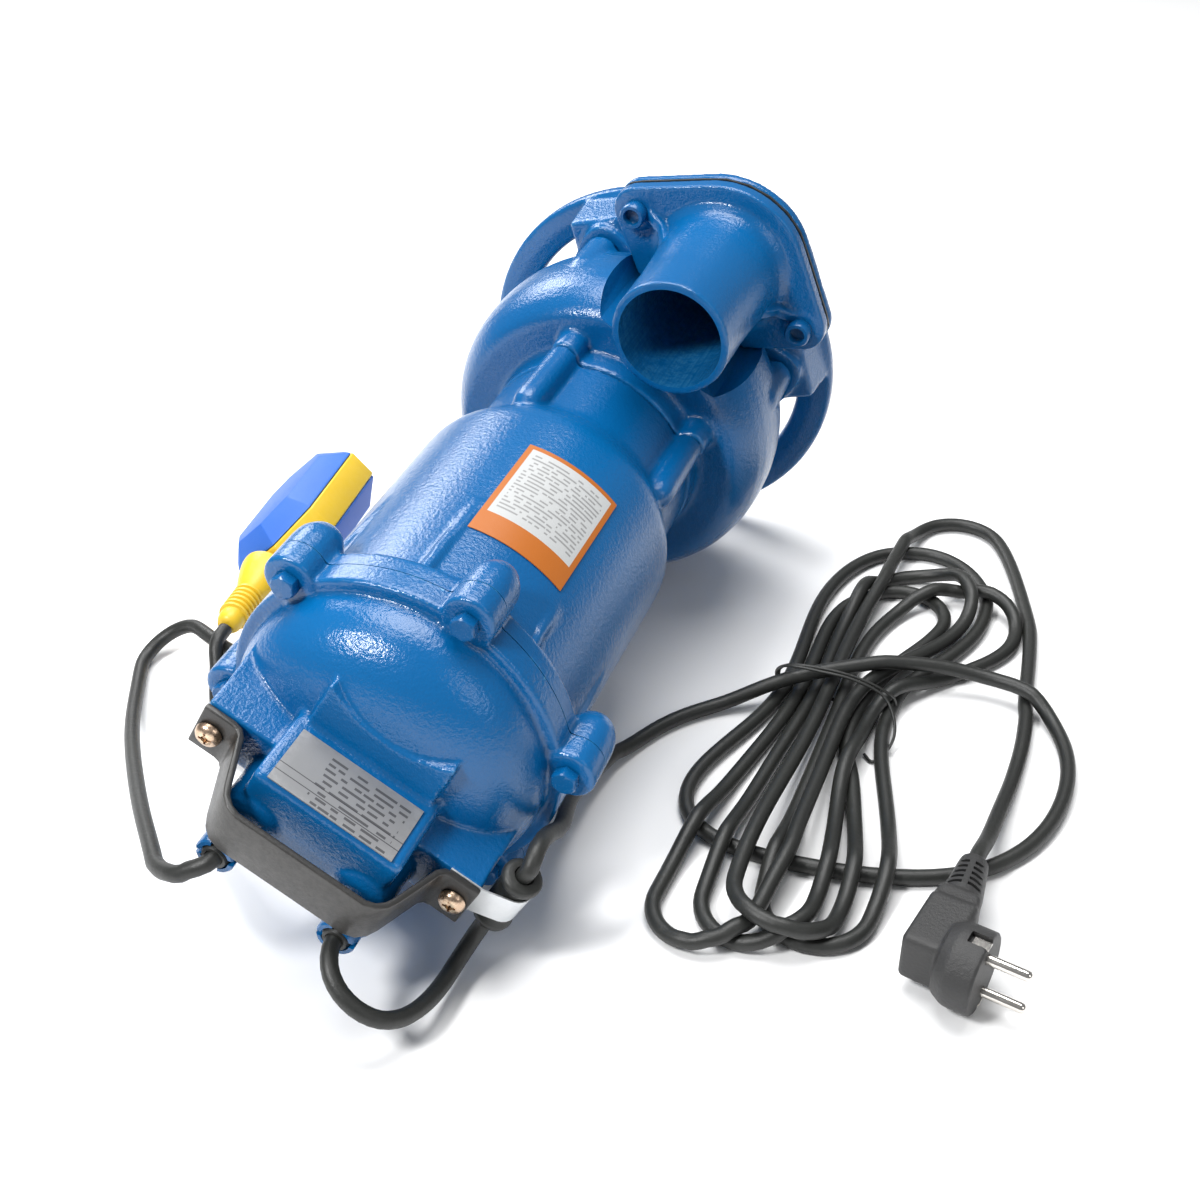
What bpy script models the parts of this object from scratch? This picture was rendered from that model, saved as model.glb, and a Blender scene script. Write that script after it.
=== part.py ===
"""Submersible sump pump with a float switch and a hank of mains cable, lying on its side.

Sizes are in millimetres and are turned into metres where a mesh is made. The pump is drawn upright in
its own frame (z up the shaft from the underside of the base ring, y towards the discharge) and an empty
lays it down on the base ring and two lugs of the cap. The float and the cables are drawn where they lie.
"""

import math

import bmesh
import bpy
from mathutils import Matrix, Vector

MM = 0.001
GAP = 0.3

# How the pump lies: rolled about its shaft, and leaning because the ring is wider than the lugs.
ROLL = math.radians(30)
ORIGIN_SHIFT = (46.603, 219.407)

# Base and volute.
RING_RADIUS, RING_HEIGHT = 103.2, 8.0
PLATE_BOTTOM, PLATE_TOP = 28.0, 40.0
BASE_BOLT_CIRCLE = 82.0
VOLUTE_BOTTOM = PLATE_TOP + 0.6
VOLUTE_TOP = 110.4
NECK_RADIUS = 58.0
NECK_SEAM = 125.0

# Discharge.
PIPE_Y, PIPE_END = 101.0, 136.0
PIPE_RADIUS, PIPE_BORE = 30.3, 26.6
PORT_FACE, FLANGE_TOP = 47.0, 57.5
FLANGE_RADIUS, EAR_RADIUS, EAR_X = 46.7, 13.0, 52.7
FLANGE_CUT_Y = 70.4

# Motor casing and cap.
CASING_RADIUS, CASING_BORE = 69.4, 62.0
SEAM = 340.7
CAP_RADIUS = 79.0
LUG_CIRCLE, LUG_RADIUS = 82.0, 12.0
CAP_FLANGE_TOP = 352.5
BOX_HALF, BOX_FRONT, BOX_BACK, BOX_TOP = 35.0, 22.0, -30.0, 428.0
FOOT_LEVEL = 405.5
FOOT_HALF_WIDTH = 12.6
SCREW_X = 60.3
GLAND = (29.5, -22.5)
GLAND_BASE = 433.0

# Shaft line.
SHAFT_RADIUS = 10.0
STACK = (206.0, 286.0)
IMPELLER_RADIUS = 54.0

# Cables.
CABLE_RADIUS = 3.8
SLEEVE_AT = (78.5, 394.0)

# Float, lying on the bevel of its lower shell.
FLOAT_END = (-155.0, -244.0)
FLOAT_YAW = math.radians(7)
FLOAT_LEAN = math.radians(43.9)
FLOAT_HALF_WIDTH, FLOAT_HALF_BAND, FLOAT_HALF_THICK = 35.0, 8.5, 21.0
BOOT_LENGTH, BOOT_TIP_RADIUS = 46.0, 7.0
FLOAT_LENGTH = 104.0

LUG_REACH = LUG_CIRCLE * math.cos(math.radians(30)) + LUG_RADIUS
TILT = math.asin((RING_RADIUS - LUG_REACH) / (CAP_FLANGE_TOP - RING_HEIGHT))
AXIS_HEIGHT = RING_RADIUS * math.cos(TILT) + RING_HEIGHT * math.sin(TILT) + 0.04
FLOAT_HEIGHT = FLOAT_HALF_WIDTH * math.sin(FLOAT_LEAN) + FLOAT_HALF_BAND * math.cos(FLOAT_LEAN) + GAP


# ---- materials -------------------------------------------------------------------------------------

MATERIALS = {}
FINISHES = {
    "blue_paint": ((0.012, 0.105, 0.36), 0.35, 0.3),
    "black_steel": ((0.03, 0.03, 0.03), 0.4, 0.6),
    "zinc_yellow": ((0.62, 0.44, 0.2), 0.3, 1.0),
    "galvanised": ((0.7, 0.71, 0.72), 0.35, 1.0),
    "steel": ((0.55, 0.56, 0.57), 0.3, 1.0),
    "cast_iron": ((0.2, 0.2, 0.2), 0.6, 0.8),
    "copper": ((0.6, 0.22, 0.1), 0.4, 0.9),
    "rubber": ((0.02, 0.02, 0.02), 0.7, 0.0),
    "plate_silver": ((0.6, 0.61, 0.62), 0.35, 0.9),
    "sticker_white": ((0.85, 0.85, 0.83), 0.5, 0.0),
    "float_blue": ((0.05, 0.16, 0.6), 0.4, 0.0),
    "float_yellow": ((0.85, 0.6, 0.03), 0.4, 0.0),
    "nickel": ((0.75, 0.73, 0.7), 0.2, 1.0),
    "capacitor_grey": ((0.35, 0.36, 0.38), 0.4, 0.0),
}


def material(name):
    if name not in MATERIALS:
        colour, roughness, metallic = FINISHES[name]
        made = bpy.data.materials.new(name)
        made.use_nodes = True
        shader = made.node_tree.nodes["Principled BSDF"]
        shader.inputs["Base Color"].default_value = (*colour, 1.0)
        shader.inputs["Roughness"].default_value = roughness
        shader.inputs["Metallic"].default_value = metallic
        MATERIALS[name] = made
    return MATERIALS[name]


# ---- shapes ----------------------------------------------------------------------------------------


def turned(profile, steps=24):
    """A solid of revolution about z. A profile that starts off the axis is closed into a ring."""
    shape = bmesh.new()
    points = [shape.verts.new((radius * MM, 0.0, z * MM)) for radius, z in profile]
    ends = points + points[:1] if profile[0][0] > 0 else points
    edges = [shape.edges.new(pair) for pair in zip(ends, ends[1:])]
    bmesh.ops.spin(
        shape, geom=points + edges, cent=(0, 0, 0), axis=(0, 0, 1), angle=math.tau, steps=steps, use_merge=True
    )
    bmesh.ops.remove_doubles(shape, verts=shape.verts, dist=1e-6)
    bmesh.ops.recalc_face_normals(shape, faces=shape.faces)
    return shape


def rod(radius, low, high, at=(0.0, 0.0), steps=16):
    return moved(turned([(0, low), (radius, low), (radius, high), (0, high)], steps), at)


def pipe(outer, inner, low, high, at=(0.0, 0.0), steps=24):
    return moved(turned([(inner, low), (outer, low), (outer, high), (inner, high)], steps), at)


def prism(outline, low, high):
    """The outline, given anticlockwise in x and y, extruded along z."""
    shape = bmesh.new()
    base = shape.faces.new([shape.verts.new((x * MM, y * MM, low * MM)) for x, y in outline])
    top = bmesh.ops.extrude_face_region(shape, geom=[base])["geom"]
    raised = [item for item in top if isinstance(item, bmesh.types.BMVert)]
    bmesh.ops.translate(shape, verts=raised, vec=(0, 0, (high - low) * MM))
    bmesh.ops.recalc_face_normals(shape, faces=shape.faces)
    return shape


def block(x, y, z):
    """A box between the pairs x, y and z."""
    return prism([(x[0], y[0]), (x[1], y[0]), (x[1], y[1]), (x[0], y[1])], z[0], z[1])


def moved(shape, at=(0.0, 0.0), height=0.0):
    shape.transform(Matrix.Translation(Vector((at[0], at[1], height)) * MM))
    return shape


def spun(shape, degrees):
    shape.transform(Matrix.Rotation(math.radians(degrees), 4, "Z"))
    return shape


def upright(shape):
    """Turns a shape drawn in x and y and extruded along z so that it is drawn in x and z and runs along y."""
    shape.transform(Matrix.Rotation(math.radians(90), 4, "X"))
    return shape


def polar(radius, degrees):
    """A point at an angle from the discharge, clockwise seen from the cap."""
    angle = math.radians(degrees)
    return radius * math.sin(angle), radius * math.cos(angle)


def arc(centre, radius, start, stop, steps):
    """Points on an arc, with angles in degrees from x."""
    angles = [math.radians(start + (stop - start) * step / steps) for step in range(steps + 1)]
    return [(centre[0] + radius * math.cos(a), centre[1] + radius * math.sin(a)) for a in angles]


def hexagon(radius, at=(0.0, 0.0)):
    return arc(at, radius, 0, 300, 5)


def hull(points):
    """The convex outline round the points, anticlockwise."""
    points = sorted(set(points))

    def chain(ordered):
        kept = []
        for point in ordered:
            while len(kept) > 1 and (
                (kept[-1][0] - kept[-2][0]) * (point[1] - kept[-2][1])
                <= (kept[-1][1] - kept[-2][1]) * (point[0] - kept[-2][0])
            ):
                kept.pop()
            kept.append(point)
        return kept[:-1]

    return chain(points) + chain(points[::-1])


def strip_outline(path, thickness):
    """The outline of a strip bent along a path."""
    left, right = [], []
    for index, point in enumerate(path):
        before = Vector(path[max(index - 1, 0)])
        after = Vector(path[min(index + 1, len(path) - 1)])
        along = (after - before).normalized()
        aside = Vector((-along.y, along.x)) * thickness / 2
        left.append(tuple(Vector(point) + aside))
        right.append(tuple(Vector(point) - aside))
    return left + right[::-1]


def smooth_curve(points, spacing):
    """Points about every spacing along a smooth curve through the points (Catmull-Rom)."""
    points = [Vector(point) for point in points]
    ends = [2 * points[0] - points[1], *points, 2 * points[-1] - points[-2]]
    found = [points[0]]
    for a, b, c, d in zip(ends, ends[1:], ends[2:], ends[3:]):
        steps = max(1, round((c - b).length / spacing))
        for step in range(1, steps + 1):
            t = step / steps
            found.append(
                0.5 * (2 * b + (c - a) * t + (2 * a - 5 * b + 4 * c - d) * t * t + (3 * b - a - 3 * c + d) * t**3)
            )
    return found


# ---- objects ---------------------------------------------------------------------------------------


def placed(name, shape, parent, finish=None):
    """An object made of the shape. One with no finish is a helper that is not part of the pump."""
    mesh = bpy.data.meshes.new(name)
    shape.to_mesh(mesh)
    shape.free()
    made = bpy.data.objects.new(name, mesh)
    made.parent = parent
    bpy.context.scene.collection.objects.link(made)
    if finish is None:
        made.hide_render = True
        made.display_type = "WIRE"
    else:
        mesh.materials.append(material(finish))
        mesh.shade_smooth()
        mesh.set_sharp_from_angle(angle=math.radians(35))
    return made


def combine(target, operation, shapes):
    for number, shape in enumerate(shapes):
        helper = shape
        if not isinstance(shape, bpy.types.Object):
            helper = placed(f"{target.name}.{operation.lower()}.{number}", shape, target.parent)
        modifier = target.modifiers.new(helper.name, "BOOLEAN")
        modifier.operation = operation
        modifier.solver = "EXACT"
        modifier.object = helper
    return target


def made_of(name, shape, parent, finish, add=(), cut=()):
    """A part: the shape, with others joined to it and others cut from it."""
    part = placed(name, shape, parent, finish)
    combine(part, "UNION", add)
    return combine(part, "DIFFERENCE", cut)


def empty(name, parent=None, matrix=None):
    made = bpy.data.objects.new(name, None)
    bpy.context.scene.collection.objects.link(made)
    made.parent = parent
    if matrix is not None:
        made.matrix_local = matrix
    return made


def cable(name, points, radius, parent, finish="rubber", spacing=17.0, sides=2):
    """A round tube along a smooth curve through the points."""
    curve = bpy.data.curves.new(name, "CURVE")
    curve.dimensions = "3D"
    curve.bevel_depth = radius * MM
    curve.bevel_resolution = sides
    curve.use_fill_caps = True
    along = smooth_curve(points, spacing)
    spline = curve.splines.new("POLY")
    spline.points.add(len(along) - 1)
    for point, place in zip(spline.points, along):
        point.co = (*(place * MM), 1.0)
    made = bpy.data.objects.new(name, curve)
    curve.materials.append(material(finish))
    bpy.context.scene.collection.objects.link(made)
    made.parent = parent
    return made


# ---- base, volute and discharge --------------------------------------------------------------------


def flange_outline(grow=0.0, cut_y=None):
    """The two-eared flange about the discharge pipe, cut straight on the motor side."""
    points = arc((0, PIPE_Y), FLANGE_RADIUS + grow, 0, 345, 23)
    for side in (-1, 1):
        points += arc((side * EAR_X, PIPE_Y), EAR_RADIUS + grow, 0, 330, 11)
    outline = hull(points)
    if cut_y is None:
        return outline
    return hull([(x, max(y, cut_y)) for x, y in outline])


def wavy_outline(radius, bulge):
    """A round plate that swells round each base bolt."""
    outline = []
    for step in range(72):
        degrees = 5.0 * step
        from_bolt = abs((degrees - 45) % 90)
        from_bolt = min(from_bolt, 90 - from_bolt)
        swell = 0.5 + 0.5 * math.cos(math.pi * min(from_bolt / 17.0, 1.0))
        outline.append(polar(radius + bulge * swell, -degrees))
    return outline


def build_base(pump):
    leg_side = [(86, 2), (100.5, 2), (97, 34), (80, 34)]
    legs, bolt_holes = [], []
    for corner in range(4):
        leg = moved(upright(prism(leg_side, -19, 19)))
        legs.append(spun(leg, 45 + 90 * corner))
        at = polar(BASE_BOLT_CIRCLE, 45 + 90 * corner)
        bolt_holes.append(turned_hole(at, 3.3, 6.6, -1, 26, PLATE_TOP + 1))
    plate = prism(wavy_outline(80, 16), PLATE_BOTTOM, PLATE_TOP)
    ring = turned([(84, 0), (RING_RADIUS, 0), (RING_RADIUS, RING_HEIGHT), (99, 10), (84, RING_HEIGHT)], 52)
    cuts = [
        rod(50.4, PLATE_BOTTOM + 4.7, PLATE_TOP + 1, steps=40),
        rod(44, PLATE_BOTTOM - 1, PLATE_TOP, steps=40),
        block((-36, 36), (50, 120), (PLATE_BOTTOM - 1, PLATE_TOP + 1)),
    ]
    made_of("base_stand", plate, pump, "blue_paint", legs + [ring], cuts + bolt_holes)
    made_of(
        "suction_cover",
        turned([(25, 30), (30, 29), (43.7, 31), (43.7, 33), (50, 33), (50, 40.2), (41.6, 40.2), (41.6, 45.6), (25, 45.6)]),
        pump,
        "cast_iron",
    )
    for corner in range(4):
        at = polar(BASE_BOLT_CIRCLE, 45 + 90 * corner)
        head = prism(hexagon(6.2, at), 20, 25.7)
        made_of(f"base_bolt_{corner + 1}", head, pump, "steel", [rod(3.0, 24, 58, at, 12)])


def turned_hole(at, radius, wide, low, step, high):
    """A drilled hole that is wide from low up to step."""
    return moved(turned([(0, low), (wide, low), (wide, step), (radius, step), (radius, high), (0, high)], 14), at)


def build_volute(pump):
    outside = [
        (42, VOLUTE_BOTTOM), (80, VOLUTE_BOTTOM), (85.5, 50), (88.8, 62), (89.6, 78), (88, 92), (84, 102),
        (80.5, 107), (77.5, 109.8), (75, VOLUTE_TOP), (NECK_RADIUS, VOLUTE_TOP), (NECK_RADIUS, NECK_SEAM),
        (50.4, NECK_SEAM), (50.4, 103), (45, 103), (45, 90), (42, 80),
    ]
    chamber = placed(
        "volute.chamber",
        turned([(0, 46.2), (70, 46.2), (78, 54), (81, 70), (79, 88), (72, 98), (0, 98)]),
        pump,
    )
    combine(chamber, "DIFFERENCE", [block((-60, 60), (62.5, 110), (40, 105))])
    joined = [
        prism(flange_outline(), 40.4, PORT_FACE),
        moved(turned([(0, 12.5), (27, 12.5), (33, 16), (36, 23), (36, 46), (0, 46)], 32), (0, PIPE_Y)),
        block((-30, 30), (51, 100), (17, 46)),
    ]
    for degrees in (45, 135, 225, 315):
        joined.append(rod(9.5, VOLUTE_BOTTOM, 74, polar(BASE_BOLT_CIRCLE, degrees), 16))
    for degrees in (40, 140, 220, 320):
        post = turned([(0, 104), (8.5, 104), (8.5, 120), (7.5, NECK_SEAM - 0.4), (0, NECK_SEAM - 0.4)], 16)
        joined.append(moved(post, polar(61.5, degrees)))
    relief = flange_outline(1.0, FLANGE_CUT_Y - 1.0)
    cuts = [
        chamber,
        rod(42, 30, 50, steps=40),
        rod(45, 90, 110, steps=40),
        rod(50.4, 103, 130, steps=40),
        prism(relief, PORT_FACE, 130),
        rod(PIPE_BORE, 20, 60, (0, PIPE_Y), 32),
        block((-22, 22), (54.5, 101), (21, 42)),
        block((-22, 22), (54.5, 62), (30, 60)),
    ]
    cuts += [rod(3.3, 38, 60, polar(BASE_BOLT_CIRCLE, 45 + 90 * corner), 12) for corner in range(4)]
    cuts += [rod(4.3, 34, 60, (side * EAR_X, PIPE_Y), 14) for side in (-1, 1)]
    solid = [point for point in outside[1:13]]
    body = turned([(0, VOLUTE_BOTTOM), *solid, (0, NECK_SEAM)], 40)
    made_of("volute_casing", body, pump, "blue_paint", joined, cuts)


def build_discharge(pump):
    ears = [(side * EAR_X, PIPE_Y) for side in (-1, 1)]
    outline = flange_outline(0.0, FLANGE_CUT_Y)
    gasket_low, gasket_high = PORT_FACE + GAP, PORT_FACE + 1.7
    holes = [rod(4.3, 40, 70, at, 14) for at in ears]
    made_of(
        "flange_gasket",
        prism(outline, gasket_low, gasket_high),
        pump,
        "rubber",
        cut=[rod(PIPE_BORE, 40, 60, (0, PIPE_Y), 32)] + holes,
    )
    barrel = turned(
        [(0, 52), (36.8, 52), (36.5, 58), (33.4, 61), (32, 68), (31, 82), (PIPE_RADIUS, 100),
         (PIPE_RADIUS, PIPE_END), (0, PIPE_END)],
        40,
    )
    barrel = moved(barrel, (0, PIPE_Y))
    above_cut = block((-60, 60), (40, FLANGE_CUT_Y), (50, 140))
    made_of(
        "discharge_pipe",
        prism(outline, gasket_high + GAP, FLANGE_TOP),
        pump,
        "blue_paint",
        [barrel],
        [rod(PIPE_BORE, 40, 140, (0, PIPE_Y), 40), above_cut] + [rod(4.3, 40, 70, at, 14) for at in ears],
    )
    for side, at in zip(("left", "right"), ears):
        head = rod(6.6, FLANGE_TOP + GAP, FLANGE_TOP + 8.3, at, 18)
        socket = prism(hexagon(3.5, at), FLANGE_TOP + 4, FLANGE_TOP + 9)
        made_of(f"flange_bolt_{side}", head, pump, "blue_paint", [rod(3.9, 37, FLANGE_TOP + 2, at, 12)], [socket])


# ---- motor -----------------------------------------------------------------------------------------


def build_motor(pump):
    profile = [
        (66, SEAM - 0.1), (CAP_RADIUS, SEAM - 0.1), (78.6, 335), (75.5, 331.5), (71.5, 327), (CASING_RADIUS, 320),
        (CASING_RADIUS, 193), (68, 189), (63.5, 180), (59, 170), (57.5, 165), (57.5, NECK_SEAM + 0.5),
        (50.6, NECK_SEAM + 0.5), (50.6, 144), (12.4, 150), (12.4, 156), (23.8, 156), (23.8, 173), (50, 176),
        (CASING_BORE, 186), (CASING_BORE, SEAM - 3.7), (66, SEAM - 3.7),
    ]
    joined = []
    for degrees in range(0, 360, 60):
        lug = turned([(0, 316), (6, 319), (LUG_RADIUS, 330), (LUG_RADIUS, SEAM - 0.1), (0, SEAM - 0.1)], 16)
        joined.append(moved(lug, polar(LUG_CIRCLE, degrees)))
    for degrees in (-23.4, 23.4, 67.5, 112.5, -67.5, -112.5):
        rib = upright(prism([(CASING_RADIUS - 3, 262), (CASING_RADIUS + 0.4, 268), (CASING_RADIUS + 3, 326),
                             (CASING_RADIUS - 3, 330)], -2.5, 2.5))
        joined.append(spun(rib, 90 - degrees))
    for degrees in (40, 140, 220, 320):
        post = turned([(0, NECK_SEAM + 1), (8, NECK_SEAM + 1), (8, 168), (6, 176), (0, 178)], 12)
        joined.append(moved(post, polar(61, degrees)))
    bores = [rod(CASING_BORE, 190, 342, steps=40), rod(50.6, 120, 144, steps=40)]
    bores += [rod(3.3, 322, SEAM + 1, polar(LUG_CIRCLE, degrees), 10) for degrees in range(0, 360, 60)]
    made_of("motor_casing", turned(profile, 40), pump, "blue_paint", joined, bores)

    made_of("oil_chamber_cover", turned([(12.6, 103.4), (50, 103.4), (50, 112), (40, 112), (30, 108), (12.6, 108)]),
            pump, "cast_iron")
    made_of("seal_seat", pipe(18, 11.2, 108.3, 113), pump, "capacitor_grey")
    made_of("lower_bearing", pipe(23.4, SHAFT_RADIUS + GAP, 156.4, 170.4), pump, "steel")
    made_of("stator_core", pipe(61.7, 36, *STACK, steps=40), pump, "steel")
    made_of("winding_lower", turned(winding_profile(STACK[0] - GAP, -1)), pump, "copper")
    made_of("winding_upper", turned(winding_profile(STACK[1] + GAP, 1)), pump, "copper")
    made_of(
        "bearing_bracket",
        turned([(12, 312), (27, 312), (30, 316), (61.7, 316), (61.7, 322), (27, 322), (27, 333), (20.4, 333), (20.4, 317),
                (12, 317)]),
        pump,
        "cast_iron",
        cut=[rod(6, 300, 330, polar(44, degrees), 12) for degrees in (84, 264)],
    )
    made_of("upper_bearing", pipe(20, 8.8, 317.4, 329.4), pump, "steel")


def winding_profile(face, way):
    """The rounded bundle of wire that stands out of one end of the stator."""
    rounded = [(40, 0), (57, 0), (58.5, 6), (58, 15), (53, 20), (46, 20), (40, 15), (38.5, 6)]
    return [(radius, face + way * height) for radius, height in rounded]


def build_rotor(pump):
    rotor = empty("rotor_axis", pump)
    made_of(
        "shaft",
        turned([(0, 46.2), (5, 46.2), (5, 57), (8, 57), (8, 82), (SHAFT_RADIUS, 82), (SHAFT_RADIUS, 172), (12.2, 172),
                (12.2, 300), (8.5, 304), (8.5, 334), (0, 334)], 24),
        rotor,
        "steel",
        cut=[block((6, 9), (-1.6, 1.6), (60, 76))],
    )
    made_of("rotor_core", pipe(35.4, 12.5, *STACK), rotor, "cast_iron")
    vanes = []
    for number in range(5):
        path = [(12 + 5.4 * step, 0.8 * step * step) for step in range(7)]
        vanes.append(spun(prism(strip_outline(path, 4.0), 54, 78), 72 * number + 20))
    hub = turned([(0, 57.5), (13, 57.5), (15, 64), (17, 77), (IMPELLER_RADIUS, 77), (IMPELLER_RADIUS, 81.5), (0, 81.5)])
    made_of("impeller", hub, rotor, "cast_iron", vanes,
            [rod(8.3, 50, 90, steps=24), block((6, 10), (-1.9, 1.9), (50, 90))])
    made_of("impeller_nut", prism(hexagon(9.2), 48.5, 56.7), rotor, "steel", cut=[rod(5.3, 45, 60)])
    made_of("shaft_key", block((6.3, 9.7), (-1.3, 1.3), (60.3, 75.7)), rotor, "steel")
    made_of("seal_head", turned([(10.3, 113.4), (16, 113.4), (16, 118), (14, 119), (14, 132), (17, 133), (17, 137),
                                 (10.3, 137)], 28), rotor, "steel")


# ---- cap, handle and glands ------------------------------------------------------------------------


def build_cap(pump):
    dome_out = [(CAP_RADIUS, SEAM + GAP), (CAP_RADIUS, 350.5), (77.6, CAP_FLANGE_TOP), (73.2, CAP_FLANGE_TOP),
                (71.8, 354.5), (70.8, 362), (67.5, 370.5), (61, 378), (50.5, 384), (38, 388), (21, 390.4), (0, 391)]
    dome_in = [(0, 385), (22, 384.2), (38, 381.4), (48, 377), (56, 371), (62, 364), (65, 354), (65, SEAM + GAP)]
    hollow = turned([(0, SEAM - 5), (65, SEAM - 5), *reversed(dome_in[:-1])], 24)
    joined = [
        rounded_block((-BOX_HALF, BOX_HALF), (BOX_BACK, BOX_FRONT), (376, BOX_TOP), 4.0),
        block((-30, 30), (15, 43.5), (374, 387.6)),
        block((-67, -20), (-13, 13), (356, FOOT_LEVEL)),
        block((20, 67), (-13, 13), (356, FOOT_LEVEL - 0.9)),
    ]
    for degrees in range(0, 360, 60):
        joined.append(rod(LUG_RADIUS, SEAM + GAP, CAP_FLANGE_TOP + 1, polar(LUG_CIRCLE, degrees), 16))
    for side in (-1, 1):
        boss = turned([(0, 420), (14, 420), (14, GLAND_BASE - 3), (12.5, GLAND_BASE), (0, GLAND_BASE)], 24)
        joined.append(moved(boss, (side * 27.0, -18.0)))
    cuts = [hollow]
    cuts += [rod(3.3, SEAM - 2, 370, polar(LUG_CIRCLE, degrees), 10) for degrees in range(0, 360, 60)]
    for side in (-1, 1):
        cuts.append(rod(4.5, 370, 440, (side * GLAND[0], GLAND[1]), 16))
        cuts.append(rod(3.2, 390, 410, (side * SCREW_X, 0), 12))
    made_of("top_cap", turned([(0, SEAM + GAP), *dome_out], 40), pump, "blue_paint", joined, cuts)
    ring = [(64 + 1.4 * math.cos(math.radians(a)), SEAM - 1.8 + 1.4 * math.sin(math.radians(a))) for a in range(0, 360, 60)]
    made_of("cap_o_ring", turned(ring), pump, "rubber")
    for number in range(6):
        at = polar(LUG_CIRCLE, 60 * number)
        head_low = CAP_FLANGE_TOP + 1 + GAP
        made_of(f"cap_bolt_{number + 1}", prism(hexagon(6.3, at), head_low, head_low + 5), pump, "blue_paint",
                [rod(3.0, 326, head_low + 2, at, 12)])
    capacitor = rod(14.5, -28, 28, steps=24)
    capacitor.transform(Matrix.Translation((0, 0, 0.364)) @ Matrix.Rotation(math.radians(90), 4, "Y"))
    made_of("capacitor", capacitor, pump, "capacitor_grey")
    made_of("nameplate", block((-29.5, 29.5), (BOX_FRONT + GAP, BOX_FRONT + 0.9), (397.6, 427)), pump, "plate_silver")
    sticker_low, sticker_high = 219.7, 289.6
    inner = [polar(CASING_RADIUS + GAP, 20.6 - 4.12 * step) for step in range(11)]
    outer = [polar(CASING_RADIUS + GAP + 0.45, -20.6 + 4.12 * step) for step in range(11)]
    made_of("sticker", prism((inner + outer)[::-1], sticker_low, sticker_high), pump, "sticker_white")


def rounded_block(x, y, z, radius):
    """A box whose upright edges are rounded."""
    corners = [(x[1] - radius, y[1] - radius, 0), (x[0] + radius, y[1] - radius, 90),
               (x[0] + radius, y[0] + radius, 180), (x[1] - radius, y[0] + radius, 270)]
    outline = []
    for centre_x, centre_y, start in corners:
        outline += arc((centre_x, centre_y), radius, start, start + 90, 4)
    return prism(outline, z[0], z[1])


def build_handle(pump):
    foot_z, top_z = FOOT_LEVEL + 1.8, 442.6
    half = [(67.2, foot_z), (54, foot_z), (50.6, foot_z + 0.9), (48.2, foot_z + 3.6), (46.8, foot_z + 7.5),
            (40.2, top_z - 9.5), (38, top_z - 5), (34.5, top_z - 1.6), (30, top_z)]
    path = half + [(-x, z) for x, z in reversed(half)]
    strap = upright(prism(strip_outline(path, 3.0), -FOOT_HALF_WIDTH, FOOT_HALF_WIDTH))
    made_of("handle", strap, pump, "black_steel",
            cut=[rod(3.3, 400, 412, (side * SCREW_X, 0), 14) for side in (-1, 1)])
    for side, name in ((-1, "left"), (1, "right")):
        head = turned([(0, foot_z + 1.8), (5.9, foot_z + 1.8), (5.7, foot_z + 3.4), (3.6, foot_z + 5), (0, foot_z + 5.4)], 20)
        at = (side * SCREW_X, 0)
        slots = [moved(block((-half_x, half_x), (-half_y, half_y), (foot_z + 3.6, foot_z + 6)), at)
                 for half_x, half_y in ((2.9, 0.6), (0.6, 2.9))]
        made_of(f"handle_screw_{name}", moved(head, at), pump, "zinc_yellow",
                [rod(2.9, 392, foot_z + 3, at, 12)], slots)
    sleeve_x, sleeve_z = SLEEVE_AT
    level = FOOT_LEVEL - 0.3
    clip_path = [(52, level), (68, level), *arc(SLEEVE_AT, 7.9, 70, -150, 16)]
    clip = upright(prism(strip_outline(clip_path, 0.8), -12.6, 4.5))
    made_of("cable_clip", clip, pump, "galvanised", cut=[rod(3.3, 400, 412, (SCREW_X, 0), 14)])
    bore, body, bead = CABLE_RADIUS + GAP, 7.2, 9.0
    sleeve = turned([(bore, -21), (body, -21), (bead, -20), (bead, -16.5), (body, -15), (body, 7.6), (bead, 9), (bead, 12),
                     (body, 13), (bore, 13)], 20)
    sleeve.transform(Matrix.Translation(Vector((sleeve_x, 0, sleeve_z)) * MM) @ Matrix.Rotation(math.radians(90), 4, "X"))
    made_of("clip_sleeve", sleeve, pump, "rubber")
    for side, name in ((-1, "float"), (1, "mains")):
        at = (side * GLAND[0], GLAND[1])
        notches = []
        for degrees in (0, 90):
            notches.append(moved(spun(block((-12, 12), (-1.4, 1.4), (GLAND_BASE + 5.5, GLAND_BASE + 12)), degrees + 20), at))
        made_of(f"gland_nut_{name}", pipe(8.7, 6.5, GLAND_BASE + GAP, GLAND_BASE + 8.5, at, 24), pump, "blue_paint", cut=notches)
        made_of(f"gland_seal_{name}", pipe(6.2, CABLE_RADIUS + GAP, GLAND_BASE + GAP, GLAND_BASE + 9.2, at, 16), pump, "rubber")


# ---- float -----------------------------------------------------------------------------------------


def float_outline(inset):
    """The float's outline along and across it, from the boot (x = BOOT_LENGTH) to the far end."""
    near, far, half = BOOT_LENGTH, BOOT_LENGTH + FLOAT_LENGTH, FLOAT_HALF_WIDTH
    full = [(near + 2, -16), (near + 26, -half), (far - 16, -half), (far, -half + 14), (far, half - 14),
            (far - 16, half), (near + 26, half), (near + 2, 16)]
    centre = (near + far) / 2
    along, across = 1 - 2 * inset / FLOAT_LENGTH, 1 - inset / half
    return [(centre + (x - centre) * along, y * across) for x, y in full]


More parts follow.
